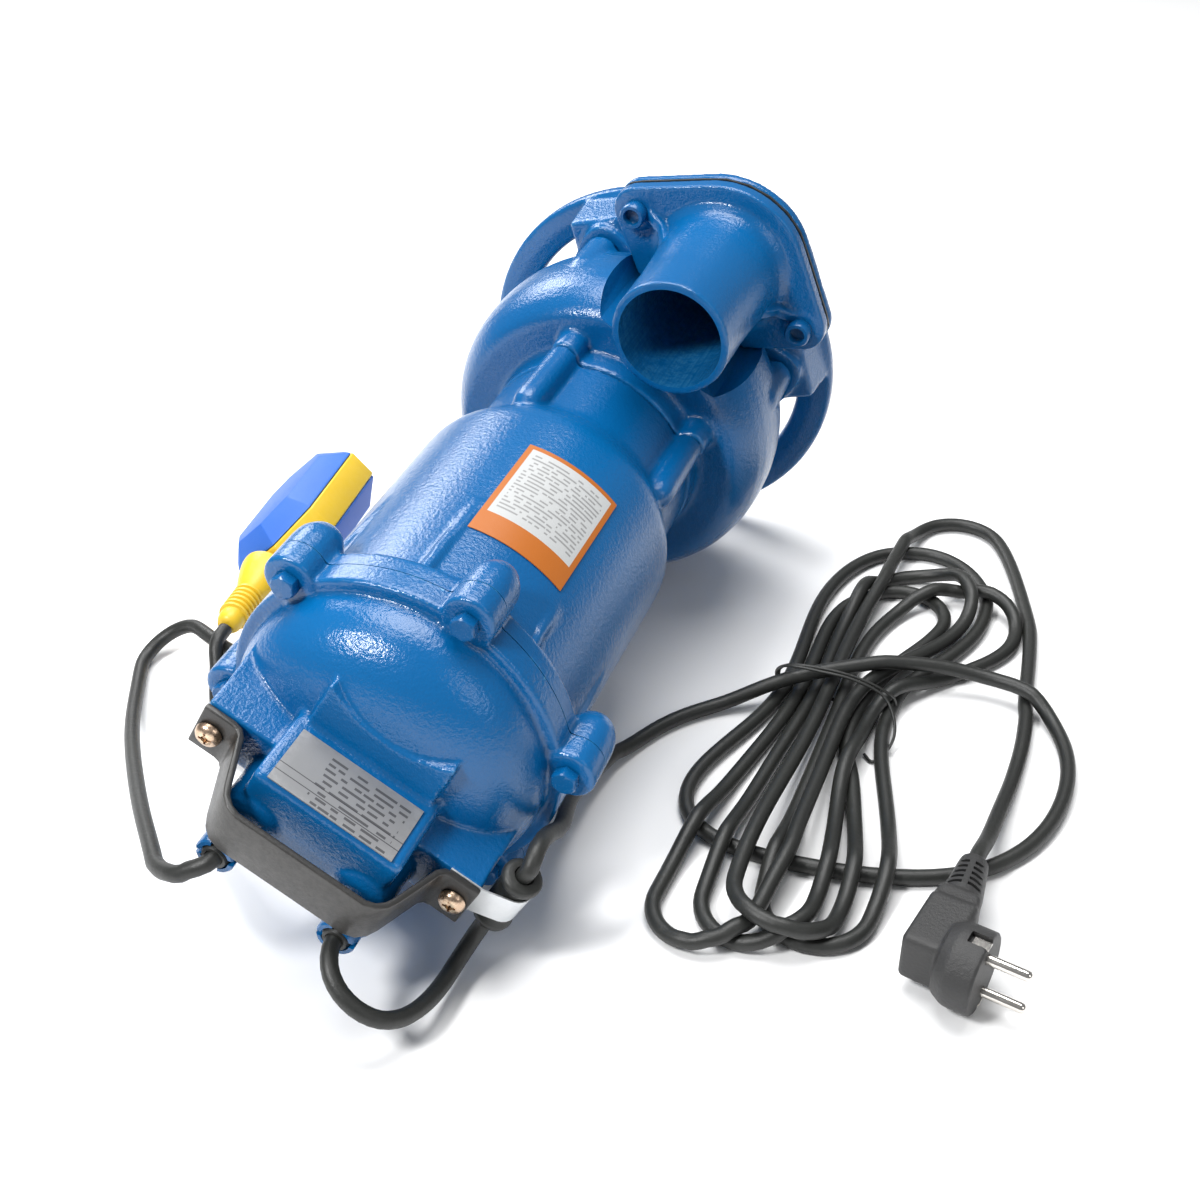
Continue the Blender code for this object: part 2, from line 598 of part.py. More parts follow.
def shell(side):
    """One half shell of the float: a bevelled cup, open towards the band."""
    low, high = (FLOAT_HALF_BAND + GAP) * side, FLOAT_HALF_THICK * side
    cup = bmesh.new()
    rings = []
    for inset, level in ((1.0, low), (1.0, low * 1.12), (12.5, high), (14.5, high - 2.2 * side), (4.5, low)):
        rings.append([cup.verts.new(Vector((x, y, level)) * MM) for x, y in float_outline(inset)])
    count = len(rings[0])
    for first, second in zip(rings, rings[1:] + rings[:1]):
        if first is rings[2]:
            continue
        for index in range(count):
            after = (index + 1) % count
            cup.faces.new((first[index], first[after], second[after], second[index]))
    cup.faces.new(rings[2])
    cup.faces.new(rings[3])
    bmesh.ops.recalc_face_normals(cup, faces=cup.faces)
    return cup


def build_float(floor):
    turn = Matrix.Rotation(math.radians(90) + FLOAT_YAW, 4, "Z") @ Matrix.Rotation(-FLOAT_LEAN, 4, "X")
    place = Matrix.Translation(Vector((*FLOAT_END, FLOAT_HEIGHT)) * MM)
    pivot = empty("float_pivot", floor, place @ turn)
    made_of("float_shell_upper", shell(-1), pivot, "float_blue")
    made_of("float_shell_lower", shell(1), pivot, "float_blue")
    made_of("float_band", prism(float_outline(0), -FLOAT_HALF_BAND, FLOAT_HALF_BAND), pivot, "float_yellow",
            cut=[prism(float_outline(5.0), -12, 12)])
    boot = turned([(0, -BOOT_TIP_RADIUS), (4.2, -5.6), (6.2, -3.2), (BOOT_TIP_RADIUS, 0), (7.6, 16), (9.5, 22), (13, 32),
                   (14, BOOT_LENGTH + 0.6), (0, BOOT_LENGTH + 0.6)], 20)
    boot.transform(Matrix.Rotation(math.radians(90), 4, "Y"))
    made_of("float_boot", boot, pivot, "float_yellow")
    near = BOOT_LENGTH
    made_of("float_microswitch", block((near + 14, near + 42), (-9, 9), (-7, 7)), pivot, "capacitor_grey")
    ball = turned([(0, -7), (3.5, -6.06), (6.06, -3.5), (7, 0), (6.06, 3.5), (3.5, 6.06), (0, 7)], 16)
    made_of("float_ball", moved(ball, (near + 56, 0)), pivot, "steel")


# ---- cables and plug -------------------------------------------------------------------------------

# Where each cable lies, as points on the floor frame: x right, y towards the base, z up.
FLOAT_CABLE_ROUTE = [
    (-48, -448, 68), (-62, -443, 62), (-79, -427, 55), (-98, -407, 46), (-122, -379, 34), (-146, -350, 23),
    (-169, -320, 13), (-189, -287, 6), (-200, -266, 4.2), (-205, -250, 6), (-199, -240, 11), (-187, -240, 17),
    (-172, -248, 23), (-155, -260, 28), (-138, -273, 31), (-117, -281, 28), (-97, -279, 20), (-79, -284, 12),
    (-70, -297, 6), (-78, -313, 4.2), (-99, -320, 4.2), (-121, -311, 6), (-138, -293, 11), (-148, -272, 19),
]
MAINS_LOOP = [(31.5, -22, 447), (36, -21.2, 457), (44, -21.5, 463), (53, -22.5, 463), (60, -23.5, 457), (65, -25, 448),
              (69, -27.5, 435), (72.5, -29, 421), (76, -29, 408), (78.3, -25.5, 399.5), (78.5, -19.5, 395)]
MAINS_LEAD_ROUTE = [
    (81, -386, 67.5), (80, -377, 66), (78, -365, 59), (76, -350, 48.5), (73, -337, 41.5), (69, -324, 35.5),
    (65, -309, 29), (63, -292, 22), (62, -270, 14), (64.5, -243, 7.5), (70, -221, 4.3), (79, -206, 4.2),
    (89, -193, 5), (98, -186, 9), (107, -181, 17), (115, -177, 27.5), (127, -170, 30), (145, -159, 30),
    (166, -143, 30), (186, -133, 30), (205, -125, 29), (221, -121, 23), (237, -121.5, 18), (252, -127, 13),
    (265, -139, 6.5), (275, -158, 4.2), (279, -185, 4.2), (276, -217, 4.2), (267, -244, 4.2),
    (254, -262, 4.2), (236, -274, 4.2), (220, -279, 4.2),
]
MAINS_TAIL_ROUTE = [
    (248, -249, 13), (249.5, -221, 8), (251, -192, 4.5), (251, -163, 4.2), (249, -138, 4.2), (246, -112, 4.2),
    (241, -81, 4.2), (235, -53, 4.2), (227, -24, 4.2), (216, 7, 4.2), (205, 29, 5), (192, 41, 8), (178, 44, 12),
    (167, 38, 17), (159, 26, 22),
]
HANK_OUTLINE = [
    (147, -346), (156, -365), (171, -369), (188, -359), (204, -347), (214, -320), (213, -290), (206, -260),
    (190, -228), (175, -200), (175, -177), (186, -146), (205, -118), (224, -97), (232, -78), (225, -49), (208, -16),
    (187, 2), (163, 2), (143, -16), (127, -40), (121, -72), (124, -103), (130, -132), (126, -160), (114, -192),
    (103, -227), (97, -255), (101, -282), (120, -304), (139, -316),
]
HANK_HEIGHT = 24.0


def on_floor_from_pump(point):
    """A point of the pump's own frame, as it stands on the floor frame."""
    place = pump_matrix() @ (Vector(point) * MM)
    return place / MM


def pump_matrix():
    """Lays the upright pump down: z towards -y, rolled about it, and leaning on the cap's lugs."""
    lay = Matrix.Rotation(math.radians(90) + TILT, 4, "X")
    return Matrix.Translation((0, 0, AXIS_HEIGHT * MM)) @ lay @ Matrix.Rotation(-ROLL, 4, "Z")


def build_cables(floor, pump):
    start = GLAND_BASE + 1.0
    left = [(-GLAND[0], GLAND[1], start), (-GLAND[0], GLAND[1], start + 10)]
    route = [on_floor_from_pump(point) for point in left] + [Vector(p) for p in FLOAT_CABLE_ROUTE]
    heading = Vector((math.sin(FLOAT_YAW), -math.cos(FLOAT_YAW), -0.1)).normalized()
    centre = Vector((*FLOAT_END, FLOAT_HEIGHT))
    route += [centre + heading * (BOOT_TIP_RADIUS + 12), centre + heading * (BOOT_TIP_RADIUS + 0.8)]
    cable("float_cable", route, CABLE_RADIUS, floor)

    right = [(GLAND[0], GLAND[1], start), (GLAND[0], GLAND[1], start + 8), *MAINS_LOOP]
    sleeve_x, sleeve_z = SLEEVE_AT
    right += [(sleeve_x, along, sleeve_z) for along in (-13, 4, 21, 26)]
    lead = [on_floor_from_pump(point) for point in right] + [Vector(p) for p in MAINS_LEAD_ROUTE]
    cable("mains_lead", lead, CABLE_RADIUS, floor)
    plug = [(245.12, -290, 19.2), (245.65, -279.5, 19.2), (246.3, -267, 18.3)]
    cable("mains_tail", plug + MAINS_TAIL_ROUTE, CABLE_RADIUS, floor)
    outline = [tuple(p) for p in smooth_curve([*HANK_OUTLINE, HANK_OUTLINE[0]], 14)][:-1]
    made_of("mains_hank", prism(outline, GAP, HANK_HEIGHT), floor, "rubber")


PLUG_AT = (262.5, -339.0, 19.2)
PLUG_YAW = math.radians(-11)
PIN_PITCH = 19.0
NECK_AT, NECK_TURN = (-23.5, 24.0, 0.0), math.radians(8)


def build_plug(floor):
    """An angled plug on its side: the pins point along x and the cable leaves along y."""
    place = Matrix.Translation(Vector(PLUG_AT) * MM) @ Matrix.Rotation(PLUG_YAW, 4, "Z")
    plug = empty("plug_place", floor, place)
    face = turned([(0, -19), (12, -19), (15, -18), (18.8, -12), (18.8, 0), (0, 0)], 32)
    face.transform(Matrix.Rotation(math.radians(90), 4, "Y"))
    grip = moved(upright(prism([(-34, -13), (-14, -13), (-14, 13), (-34, 13)], -24, 10)))
    lean = Matrix.Translation(Vector(NECK_AT) * MM) @ Matrix.Rotation(NECK_TURN, 4, "Z") @ Matrix.Rotation(math.radians(-90), 4, "X")
    neck = turned([(0, 37), (6.5, 37), (9.5, 13), (9.5, -12), (0, -12)], 20)
    neck.transform(lean)
    body = block((-31, -2), (-12, 40), (-13, 13))
    pin_holes, bore = [], rod(CABLE_RADIUS + 0.6, 20, 60, steps=16)
    bore.transform(lean)
    for side in (-1, 1):
        hole = rod(2.7, -12, 5, steps=14)
        hole.transform(Matrix.Translation(Vector((0, 0, side * PIN_PITCH / 2)) * MM) @ Matrix.Rotation(math.radians(90), 4, "Y"))
        pin_holes.append(hole)
    made_of("plug_body", body, plug, "rubber", [face, grip, neck], pin_holes + [bore])
    for side, name in ((-1, "lower"), (1, "upper")):
        pin = turned([(0, -11.5), (2.4, -11.5), (2.4, 17), (1.4, 19.4), (0, 19.4)], 14)
        pin.transform(Matrix.Translation(Vector((0, 0, side * PIN_PITCH / 2)) * MM) @ Matrix.Rotation(math.radians(90), 4, "Y"))
        made_of(f"plug_pin_{name}", pin, plug, "nickel")


def main():
    for old in list(bpy.data.objects):
        bpy.data.objects.remove(old)
    floor = empty("floor_frame", None, Matrix.Translation((ORIGIN_SHIFT[0] * MM, ORIGIN_SHIFT[1] * MM, 0)))
    pump = empty("pump_axis", floor, pump_matrix())
    build_base(pump)
    build_volute(pump)
    build_discharge(pump)
    build_motor(pump)
    build_rotor(pump)
    build_cap(pump)
    build_handle(pump)
    build_float(floor)
    build_cables(floor, pump)
    build_plug(floor)


main()
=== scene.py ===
"""Looks for a submersible sump pump that lies on its side with its float switch and its mains cable."""

import logging
import math
from dataclasses import dataclass, field
from enum import Enum
from typing import Callable, Iterable, Sequence

import bmesh
import bpy
import numpy as np
from mathutils import Matrix, Vector

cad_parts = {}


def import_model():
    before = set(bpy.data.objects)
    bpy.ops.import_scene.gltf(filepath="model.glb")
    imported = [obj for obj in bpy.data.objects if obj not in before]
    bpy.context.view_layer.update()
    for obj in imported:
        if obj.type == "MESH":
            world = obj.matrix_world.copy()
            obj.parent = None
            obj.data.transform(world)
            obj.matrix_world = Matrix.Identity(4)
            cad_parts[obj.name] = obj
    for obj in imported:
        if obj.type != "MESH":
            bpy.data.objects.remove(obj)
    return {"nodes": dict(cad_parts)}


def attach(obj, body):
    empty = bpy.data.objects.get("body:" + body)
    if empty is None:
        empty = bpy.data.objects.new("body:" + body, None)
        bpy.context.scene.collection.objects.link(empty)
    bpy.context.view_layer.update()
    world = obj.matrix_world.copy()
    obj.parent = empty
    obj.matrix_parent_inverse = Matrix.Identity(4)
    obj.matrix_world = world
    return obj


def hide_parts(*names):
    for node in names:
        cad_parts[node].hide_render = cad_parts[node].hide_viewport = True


LOG = logging.getLogger("sump_pump")
MM = 0.001
Point2 = tuple[float, float]
Point3 = tuple[float, float, float]

ROLL = math.radians(30)
TILT = math.asin((103.2 - (82 * math.cos(math.radians(30)) + 12)) / (352.5 - 8))
AXIS_HEIGHT = 103.2 * math.cos(TILT) + 8 * math.sin(TILT) + 0.04
FLOOR_SHIFT = Vector((46.603, 219.407, 0.0))
CABLE_RADIUS = 3.8


def pump_place() -> Matrix:
    """Returns the matrix from the pump's upright frame, in millimetres, to the scene, in metres."""
    lay = Matrix.Rotation(math.radians(90) + TILT, 4, "X") @ Matrix.Rotation(-ROLL, 4, "Z")
    stand = Matrix.Translation(FLOOR_SHIFT + Vector((0, 0, AXIS_HEIGHT)))
    return Matrix.Scale(MM, 4) @ stand @ lay


def floor_place() -> Matrix:
    """Returns the matrix from the floor frame, in millimetres, to the scene, in metres."""
    return Matrix.Scale(MM, 4) @ Matrix.Translation(FLOOR_SHIFT)


PUMP = pump_place()
FLOOR = floor_place()


def polar(radius: float, degrees: float) -> Point2:
    """Returns a point at an angle from the discharge side, clockwise seen from the cap."""
    angle = math.radians(degrees)
    return radius * math.sin(angle), radius * math.cos(angle)


def arc(centre: Point2, radius: float, start: float, stop: float, steps: int) -> list[Point2]:
    """Returns points on an arc, with angles in degrees from x."""
    angles = [math.radians(start + (stop - start) * step / steps) for step in range(steps + 1)]
    return [(centre[0] + radius * math.cos(a), centre[1] + radius * math.sin(a)) for a in angles]


def smooth_curve(points: Iterable[Sequence[float]], spacing: float) -> list[Vector]:
    """Runs a smooth curve through points.

    Args:
        points: the route's own points, in millimetres.
        spacing: about how far apart the points of the curve are.

    Returns:
        The points of the curve.
    """
    route = [Vector(point) for point in points]
    ends = [2 * route[0] - route[1], *route, 2 * route[-1] - route[-2]]
    found = [route[0]]
    for a, b, c, d in zip(ends, ends[1:], ends[2:], ends[3:]):
        lengths = [max((q - p).length, 1e-6) ** 0.5 for p, q in ((a, b), (b, c), (c, d))]
        steps = max(1, round((c - b).length / spacing))
        m1 = (c - b) + lengths[1] * ((b - a) / lengths[0] - (c - a) / (lengths[0] + lengths[1]))
        m2 = (c - b) + lengths[1] * ((d - c) / lengths[2] - (d - b) / (lengths[1] + lengths[2]))
        for step in range(1, steps + 1):
            t = step / steps
            found.append(
                (2 * t**3 - 3 * t * t + 1) * b
                + (t**3 - 2 * t * t + t) * m1
                + (-2 * t**3 + 3 * t * t) * c
                + (t**3 - t * t) * m2
            )
    return found


class Solid:
    """A closed shape in millimetres, made with bmesh operators and placed later."""

    def __init__(self, mesh: bmesh.types.BMesh) -> None:
        """Keeps the mesh."""
        self.mesh = mesh

    @classmethod
    def turned(cls, profile: Sequence[Point2], steps: int = 96) -> "Solid":
        """Spins a profile of radius and height about z.

        Args:
            profile: from the axis out and back to the axis, or a loop that stays clear of it.
            steps: how many facets go round.

        Returns:
            The closed solid.
        """
        mesh = bmesh.new()
        points = [mesh.verts.new((radius, 0.0, z)) for radius, z in profile]
        ends = points + points[:1] if profile[0][0] > 0 else points
        edges = [mesh.edges.new(pair) for pair in zip(ends, ends[1:])]
        bmesh.ops.spin(
            mesh, geom=points + edges, cent=(0, 0, 0), axis=(0, 0, 1), angle=math.tau, steps=steps, use_merge=True
        )
        bmesh.ops.remove_doubles(mesh, verts=mesh.verts, dist=1e-4)
        bmesh.ops.recalc_face_normals(mesh, faces=mesh.faces)
        return cls(mesh)

    @classmethod
    def slab(cls, outline: Sequence[Point2], low: float, high: float) -> "Solid":
        """Extrudes an anticlockwise outline from low to high along z."""
        mesh = bmesh.new()
        face = mesh.faces.new([mesh.verts.new((x, y, low)) for x, y in outline])
        made = bmesh.ops.extrude_face_region(mesh, geom=[face])["geom"]
        lifted = [item for item in made if isinstance(item, bmesh.types.BMVert)]
        bmesh.ops.translate(mesh, verts=lifted, vec=(0, 0, high - low))
        bmesh.ops.recalc_face_normals(mesh, faces=mesh.faces)
        return cls(mesh)

    @classmethod
    def rod(cls, radius: float, low: float, high: float, at: Point2 = (0, 0), steps: int = 48) -> "Solid":
        """Makes a cylinder along z."""
        return cls.turned([(0, low), (radius, low), (radius, high), (0, high)], steps).moved(*at, 0)

    @classmethod
    def block(cls, x: Point2, y: Point2, z: Point2) -> "Solid":
        """Makes a box between the pairs x, y and z."""
        return cls.slab([(x[0], y[0]), (x[1], y[0]), (x[1], y[1]), (x[0], y[1])], *z)

    def moved(self, x: float, y: float, z: float) -> "Solid":
        """Shifts the shape."""
        return self.placed(Matrix.Translation((x, y, z)))

    def spun(self, degrees: float, axis: str = "Z") -> "Solid":
        """Turns the shape about an axis through the origin."""
        return self.placed(Matrix.Rotation(math.radians(degrees), 4, axis))

    def placed(self, matrix: Matrix) -> "Solid":
        """Transforms the shape."""
        self.mesh.transform(matrix)
        return self

    def bevelled(self, width: float, segments: int = 2, sharper_than: float = 30) -> "Solid":
        """Rounds the edges that are sharper than an angle.

        Args:
            width: the bevel's offset in millimetres.
            segments: how many facets the bevel has.
            sharper_than: the least angle between two faces, in degrees.

        Returns:
            The same solid.
        """
        least = math.radians(sharper_than)
        edges = [e for e in self.mesh.edges if e.is_manifold and e.calc_face_angle(0.0) > least]
        bmesh.ops.bevel(
            self.mesh, geom=edges, offset=width, segments=segments, profile=0.5, affect="EDGES", material=-1,
            clamp_overlap=True,
        )
        return self


def baked(obj: bpy.types.Object) -> bpy.types.Object:
    """Applies an object's modifiers and returns it."""
    graph = bpy.context.evaluated_depsgraph_get()
    mesh = bpy.data.meshes.new_from_object(obj.evaluated_get(graph), depsgraph=graph)
    obj.modifiers.clear()
    old = obj.data
    obj.data = mesh
    bpy.data.meshes.remove(old)
    return obj


def put(name: str, solids: Sequence[Solid], place: Matrix) -> bpy.types.Object:
    """Makes one object of the solids, placed in the scene."""
    joined = bmesh.new()
    for solid in solids:
        part = bpy.data.meshes.new("part")
        solid.mesh.to_mesh(part)
        solid.mesh.free()
        joined.from_mesh(part)
        bpy.data.meshes.remove(part)
    joined.transform(place)
    mesh = bpy.data.meshes.new(name)
    joined.to_mesh(mesh)
    joined.free()
    obj = bpy.data.objects.new(name, mesh)
    bpy.context.scene.collection.objects.link(obj)
    return obj


def cut(obj: bpy.types.Object, cutters: Sequence[Solid], place: Matrix) -> bpy.types.Object:
    """Cuts solids out of an object and returns it."""
    for solid in cutters:
        tool = put("cutter", [solid], place)
        modifier = obj.modifiers.new("cut", "BOOLEAN")
        modifier.operation = "DIFFERENCE"
        modifier.solver = "MANIFOLD"
        modifier.object = tool
        baked(obj)
        bpy.data.objects.remove(tool)
    return obj


def smooth(obj: bpy.types.Object, angle: float = 35) -> bpy.types.Object:
    """Shades an object smooth, with edges sharper than an angle kept."""
    obj.data.shade_smooth()
    obj.data.set_sharp_from_angle(angle=math.radians(angle))
    return obj


def fused(name: str, solids: Sequence[Solid], place: Matrix, grain: float, passes: int = 5) -> bpy.types.Object:
    """Melts overlapping solids into one skin with soft inner corners, as a sand casting has.

    Args:
        name: the object's name.
        solids: closed shapes that overlap.
        place: from the shapes' millimetres to the scene.
        grain: the size of the skin's facets, in millimetres.
        passes: how often the skin is relaxed.

    Returns:
        The object.
    """
    obj = put(name, solids, place)
    modifier = obj.modifiers.new("skin", "REMESH")
    modifier.mode = "VOXEL"
    modifier.voxel_size = grain * MM
    baked(obj)
    skin = bmesh.new()
    skin.from_mesh(obj.data)
    for _ in range(passes):
        bmesh.ops.smooth_vert(skin, verts=skin.verts, factor=0.5, use_axis_x=True, use_axis_y=True, use_axis_z=True)
    skin.to_mesh(obj.data)
    skin.free()
    return obj


def copied(node: str, name: str, bevel: float, segments: int = 2, angle: float = 30) -> bpy.types.Object:
    """Copies a plain part of the frame with its facets merged and its edges rounded.

    Args:
        node: the frame's node.
        name: the new object's name.
        bevel: the width of the rounding, in millimetres.
        segments: how many facets the rounding has.
        angle: edges sharper than this, in degrees, are rounded.

    Returns:
        The object.
    """
    source = FRAME["nodes"][node]
    mesh = bmesh.new()
    mesh.from_mesh(source.data)
    mesh.transform(source.matrix_world)
    bmesh.ops.remove_doubles(mesh, verts=mesh.verts, dist=2e-5)
    bmesh.ops.dissolve_limit(
        mesh, angle_limit=math.radians(1.5), use_dissolve_boundaries=False, verts=mesh.verts, edges=mesh.edges
    )
    mesh.transform(Matrix.Scale(1 / MM, 4))
    solid = Solid(mesh)
    if bevel:
        solid.bevelled(bevel, segments, angle)
    return smooth(put(name, [solid], Matrix.Scale(MM, 4)))


# ---- shader groups ---------------------------------------------------------------------------------


class Graph:
    """A short way to write a node tree."""

    def __init__(self, tree: bpy.types.NodeTree) -> None:
        """Keeps the tree."""
        self.tree = tree

    def node(self, kind: str, **values: object) -> bpy.types.Node:
        """Adds a node and sets its properties and its sockets.

        Args:
            kind: the node's type.
            values: a property by its name, or an input by its name with _ for a space, or by i0, i1.

        Returns:
            The node.
        """
        node = self.tree.nodes.new(kind)
        inputs = []
        for key, value in values.items():
            if hasattr(node, key) and not key.startswith("i"):
                setattr(node, key, value)
            else:
                inputs.append((key, value))
        for key, value in inputs:
            socket = node.inputs[int(key[1:])] if key[1:].isdigit() else node.inputs[key.replace("_", " ")]
            if isinstance(value, bpy.types.NodeSocket):
                self.tree.links.new(value, socket)
            else:
                socket.default_value = value
        return node

    def math(self, operation: str, a: object, b: object = 0.0, clamp: bool = False) -> bpy.types.NodeSocket:
        """Adds a Math node and returns its value."""
        return self.node("ShaderNodeMath", operation=operation, use_clamp=clamp, i0=a, i1=b).outputs[0]

    def mix(self, factor: object, a: object, b: object) -> bpy.types.NodeSocket:
        """Mixes two colours and returns the result."""
        node = self.tree.nodes.new("ShaderNodeMix")
        node.data_type = "RGBA"
        for index, value in ((0, factor), (6, a), (7, b)):
            if isinstance(value, bpy.types.NodeSocket):
                self.tree.links.new(value, node.inputs[index])
            else:
                node.inputs[index].default_value = value
        return node.outputs[2]

    def ramp(self, value: object, low: float, high: float, clamp: bool = True) -> bpy.types.NodeSocket:
        """Maps a value from low..high to 0..1."""
        node = self.node("ShaderNodeMapRange", clamp=clamp, i0=value, i1=low, i2=high, i3=0.0, i4=1.0)
        return node.outputs[0]

    def noise(self, vector: object, scale: float, detail: float = 3.0, roughness: float = 0.5) -> bpy.types.NodeSocket:
        """Adds a noise texture and returns its value."""
        node = self.node("ShaderNodeTexNoise", Vector=vector, Scale=scale, Detail=detail, Roughness=roughness)
        return node.outputs[0]

    def place(self) -> bpy.types.NodeSocket:
        """Returns the object coordinates."""
        return self.tree.nodes.new("ShaderNodeTexCoord").outputs["Object"]


Builder = Callable[[Graph, bpy.types.Node, bpy.types.Node], None]


def group(name: str, inputs: dict[str, object], outputs: dict[str, str], build: Builder) -> bpy.types.NodeTree:
    """Makes a shader node group once.

    Args:
        name: the group's name.
        inputs: each input's default: a number, or a colour of four numbers.
        outputs: each output's socket type.
        build: writes the nodes between the group's input and its output.

    Returns:
        The group.
    """
    if name in bpy.data.node_groups:
        return bpy.data.node_groups[name]
    tree = bpy.data.node_groups.new(name, "ShaderNodeTree")
    for label, value in inputs.items():
        kind = "NodeSocketColor" if isinstance(value, tuple) else "NodeSocketFloat"
        tree.interface.new_socket(label, in_out="INPUT", socket_type=kind).default_value = value
    for label, kind in outputs.items():
        tree.interface.new_socket(label, in_out="OUTPUT", socket_type=kind)
    build(Graph(tree), tree.nodes.new("NodeGroupInput"), tree.nodes.new("NodeGroupOutput"))
    return tree


def write_skin(graph: Graph, given: bpy.types.Node, out: bpy.types.Node) -> None:
    """Writes the surface skin: two sizes of bumps, mottled colour, painted shade in the hollows, and lighter edges that
    are partly wear and partly painted highlight.
    """
    place = graph.place()
    coarse = graph.node("ShaderNodeTexNoise", Vector=place, Scale=given.outputs["Coarse"], Detail=2.0).outputs[0]
    fine = graph.node("ShaderNodeTexNoise", Vector=place, Scale=given.outputs["Fine"], Detail=3.0).outputs[0]
    broad = graph.noise(place, 9.0, 2.0)
    height = graph.math("ADD", graph.math("MULTIPLY", coarse, 0.65), graph.math("MULTIPLY", fine, 0.35))
    bump = graph.node(
        "ShaderNodeBump", Strength=given.outputs["Depth"], Distance=0.004, Height=height, use_custom_color=False
    )
    edge = graph.tree.nodes.new("ShaderNodeNewGeometry").outputs["Pointiness"]
    edge_patches = graph.noise(place, 260.0, 4.0, 0.7)
    # Sharp edges, broken into patches by noise, turn towards the edge colour: partly wear, partly painted highlight.
    edge_rub_and_highlight = graph.math(
        "MULTIPLY", graph.ramp(edge, 0.53, 0.62), graph.math("MULTIPLY", graph.ramp(edge_patches, 0.35, 0.6), given.outputs["Wear"])
    )
    # Concave spots, creases and recesses turn towards the dark hollow colour: painted shade.
    painted_shade = graph.math("MULTIPLY", graph.ramp(edge, 0.49, 0.42), 0.55)
    tone = graph.mix(graph.ramp(broad, 0.35, 0.68), given.outputs["Colour"], given.outputs["Colour 2"])
    tone = graph.mix(painted_shade, tone, given.outputs["Hollow"])
    tone = graph.mix(edge_rub_and_highlight, tone, given.outputs["Edge"])
    rough = graph.math("ADD", given.outputs["Roughness"], graph.math("MULTIPLY", graph.math("SUBTRACT", fine, 0.5), 0.25))
    graph.tree.links.new(tone, out.inputs["Colour"])
    graph.tree.links.new(graph.math("MAXIMUM", rough, 0.05), out.inputs["Roughness"])
    graph.tree.links.new(bump.outputs[0], out.inputs["Normal"])
    graph.tree.links.new(edge_rub_and_highlight, out.inputs["Worn"])


def skin_group() -> bpy.types.NodeTree:
    """Returns the skin group that most finishes use."""
    return group(
        "surface_skin",
        {
            # The hollow colour is painted shade, laid in creases and recesses.
            "Colour": (0.5, 0.5, 0.5, 1.0), "Colour 2": (0.5, 0.5, 0.5, 1.0), "Hollow": (0.1, 0.1, 0.1, 1.0),
            # The edge colour and its amount lighten sharp edges: partly wear, partly painted highlight.
            "Edge": (0.8, 0.8, 0.8, 1.0), "Coarse": 300.0, "Fine": 1200.0, "Depth": 0.2, "Roughness": 0.4, "Wear": 0.3,
        },
        {
            "Colour": "NodeSocketColor", "Roughness": "NodeSocketFloat", "Normal": "NodeSocketVector",
            "Worn": "NodeSocketFloat",
        },
        write_skin,
    )


def write_print(graph: Graph, given: bpy.types.Node, out: bpy.types.Node) -> None:
    """Writes rows of plain bars over a piece's own UV map, with no letters."""
    uv = graph.tree.nodes.new("ShaderNodeTexCoord").outputs["UV"]
    parts = graph.node("ShaderNodeSeparateXYZ", i0=uv)
    u, v = parts.outputs[0], parts.outputs[1]
    rows = graph.math("MULTIPLY", v, given.outputs["Rows"])
    across = graph.math("FRACT", rows)
    band = graph.math("MULTIPLY", graph.math("GREATER_THAN", across, 0.3), graph.math("LESS_THAN", across, 0.72))
    words = graph.node(
        "ShaderNodeCombineXYZ", i0=graph.math("MULTIPLY", u, given.outputs["Words"]),
        i1=graph.math("MULTIPLY", graph.math("FLOOR", rows), 7.3),
    ).outputs[0]
    bars = graph.math("GREATER_THAN", graph.noise(words, 1.0, 0.0), 0.44)
    ends = graph.math("MULTIPLY", graph.math("GREATER_THAN", u, given.outputs["Left"]), graph.math("LESS_THAN", u, given.outputs["Right"]))
    rise = graph.math("MULTIPLY", graph.math("GREATER_THAN", v, given.outputs["Low"]), graph.math("LESS_THAN", v, given.outputs["High"]))
    mask = graph.math("MULTIPLY", graph.math("MULTIPLY", band, bars), graph.math("MULTIPLY", ends, rise))
    graph.tree.links.new(mask, out.inputs["Mask"])


def print_group() -> bpy.types.NodeTree:
    """Returns the group of printed bars."""
    return group(
        "printed_bars",
        {"Rows": 12.0, "Words": 14.0, "Left": 0.1, "Right": 0.9, "Low": 0.1, "High": 0.9},
        {"Mask": "NodeSocketFloat"},
        write_print,
    )


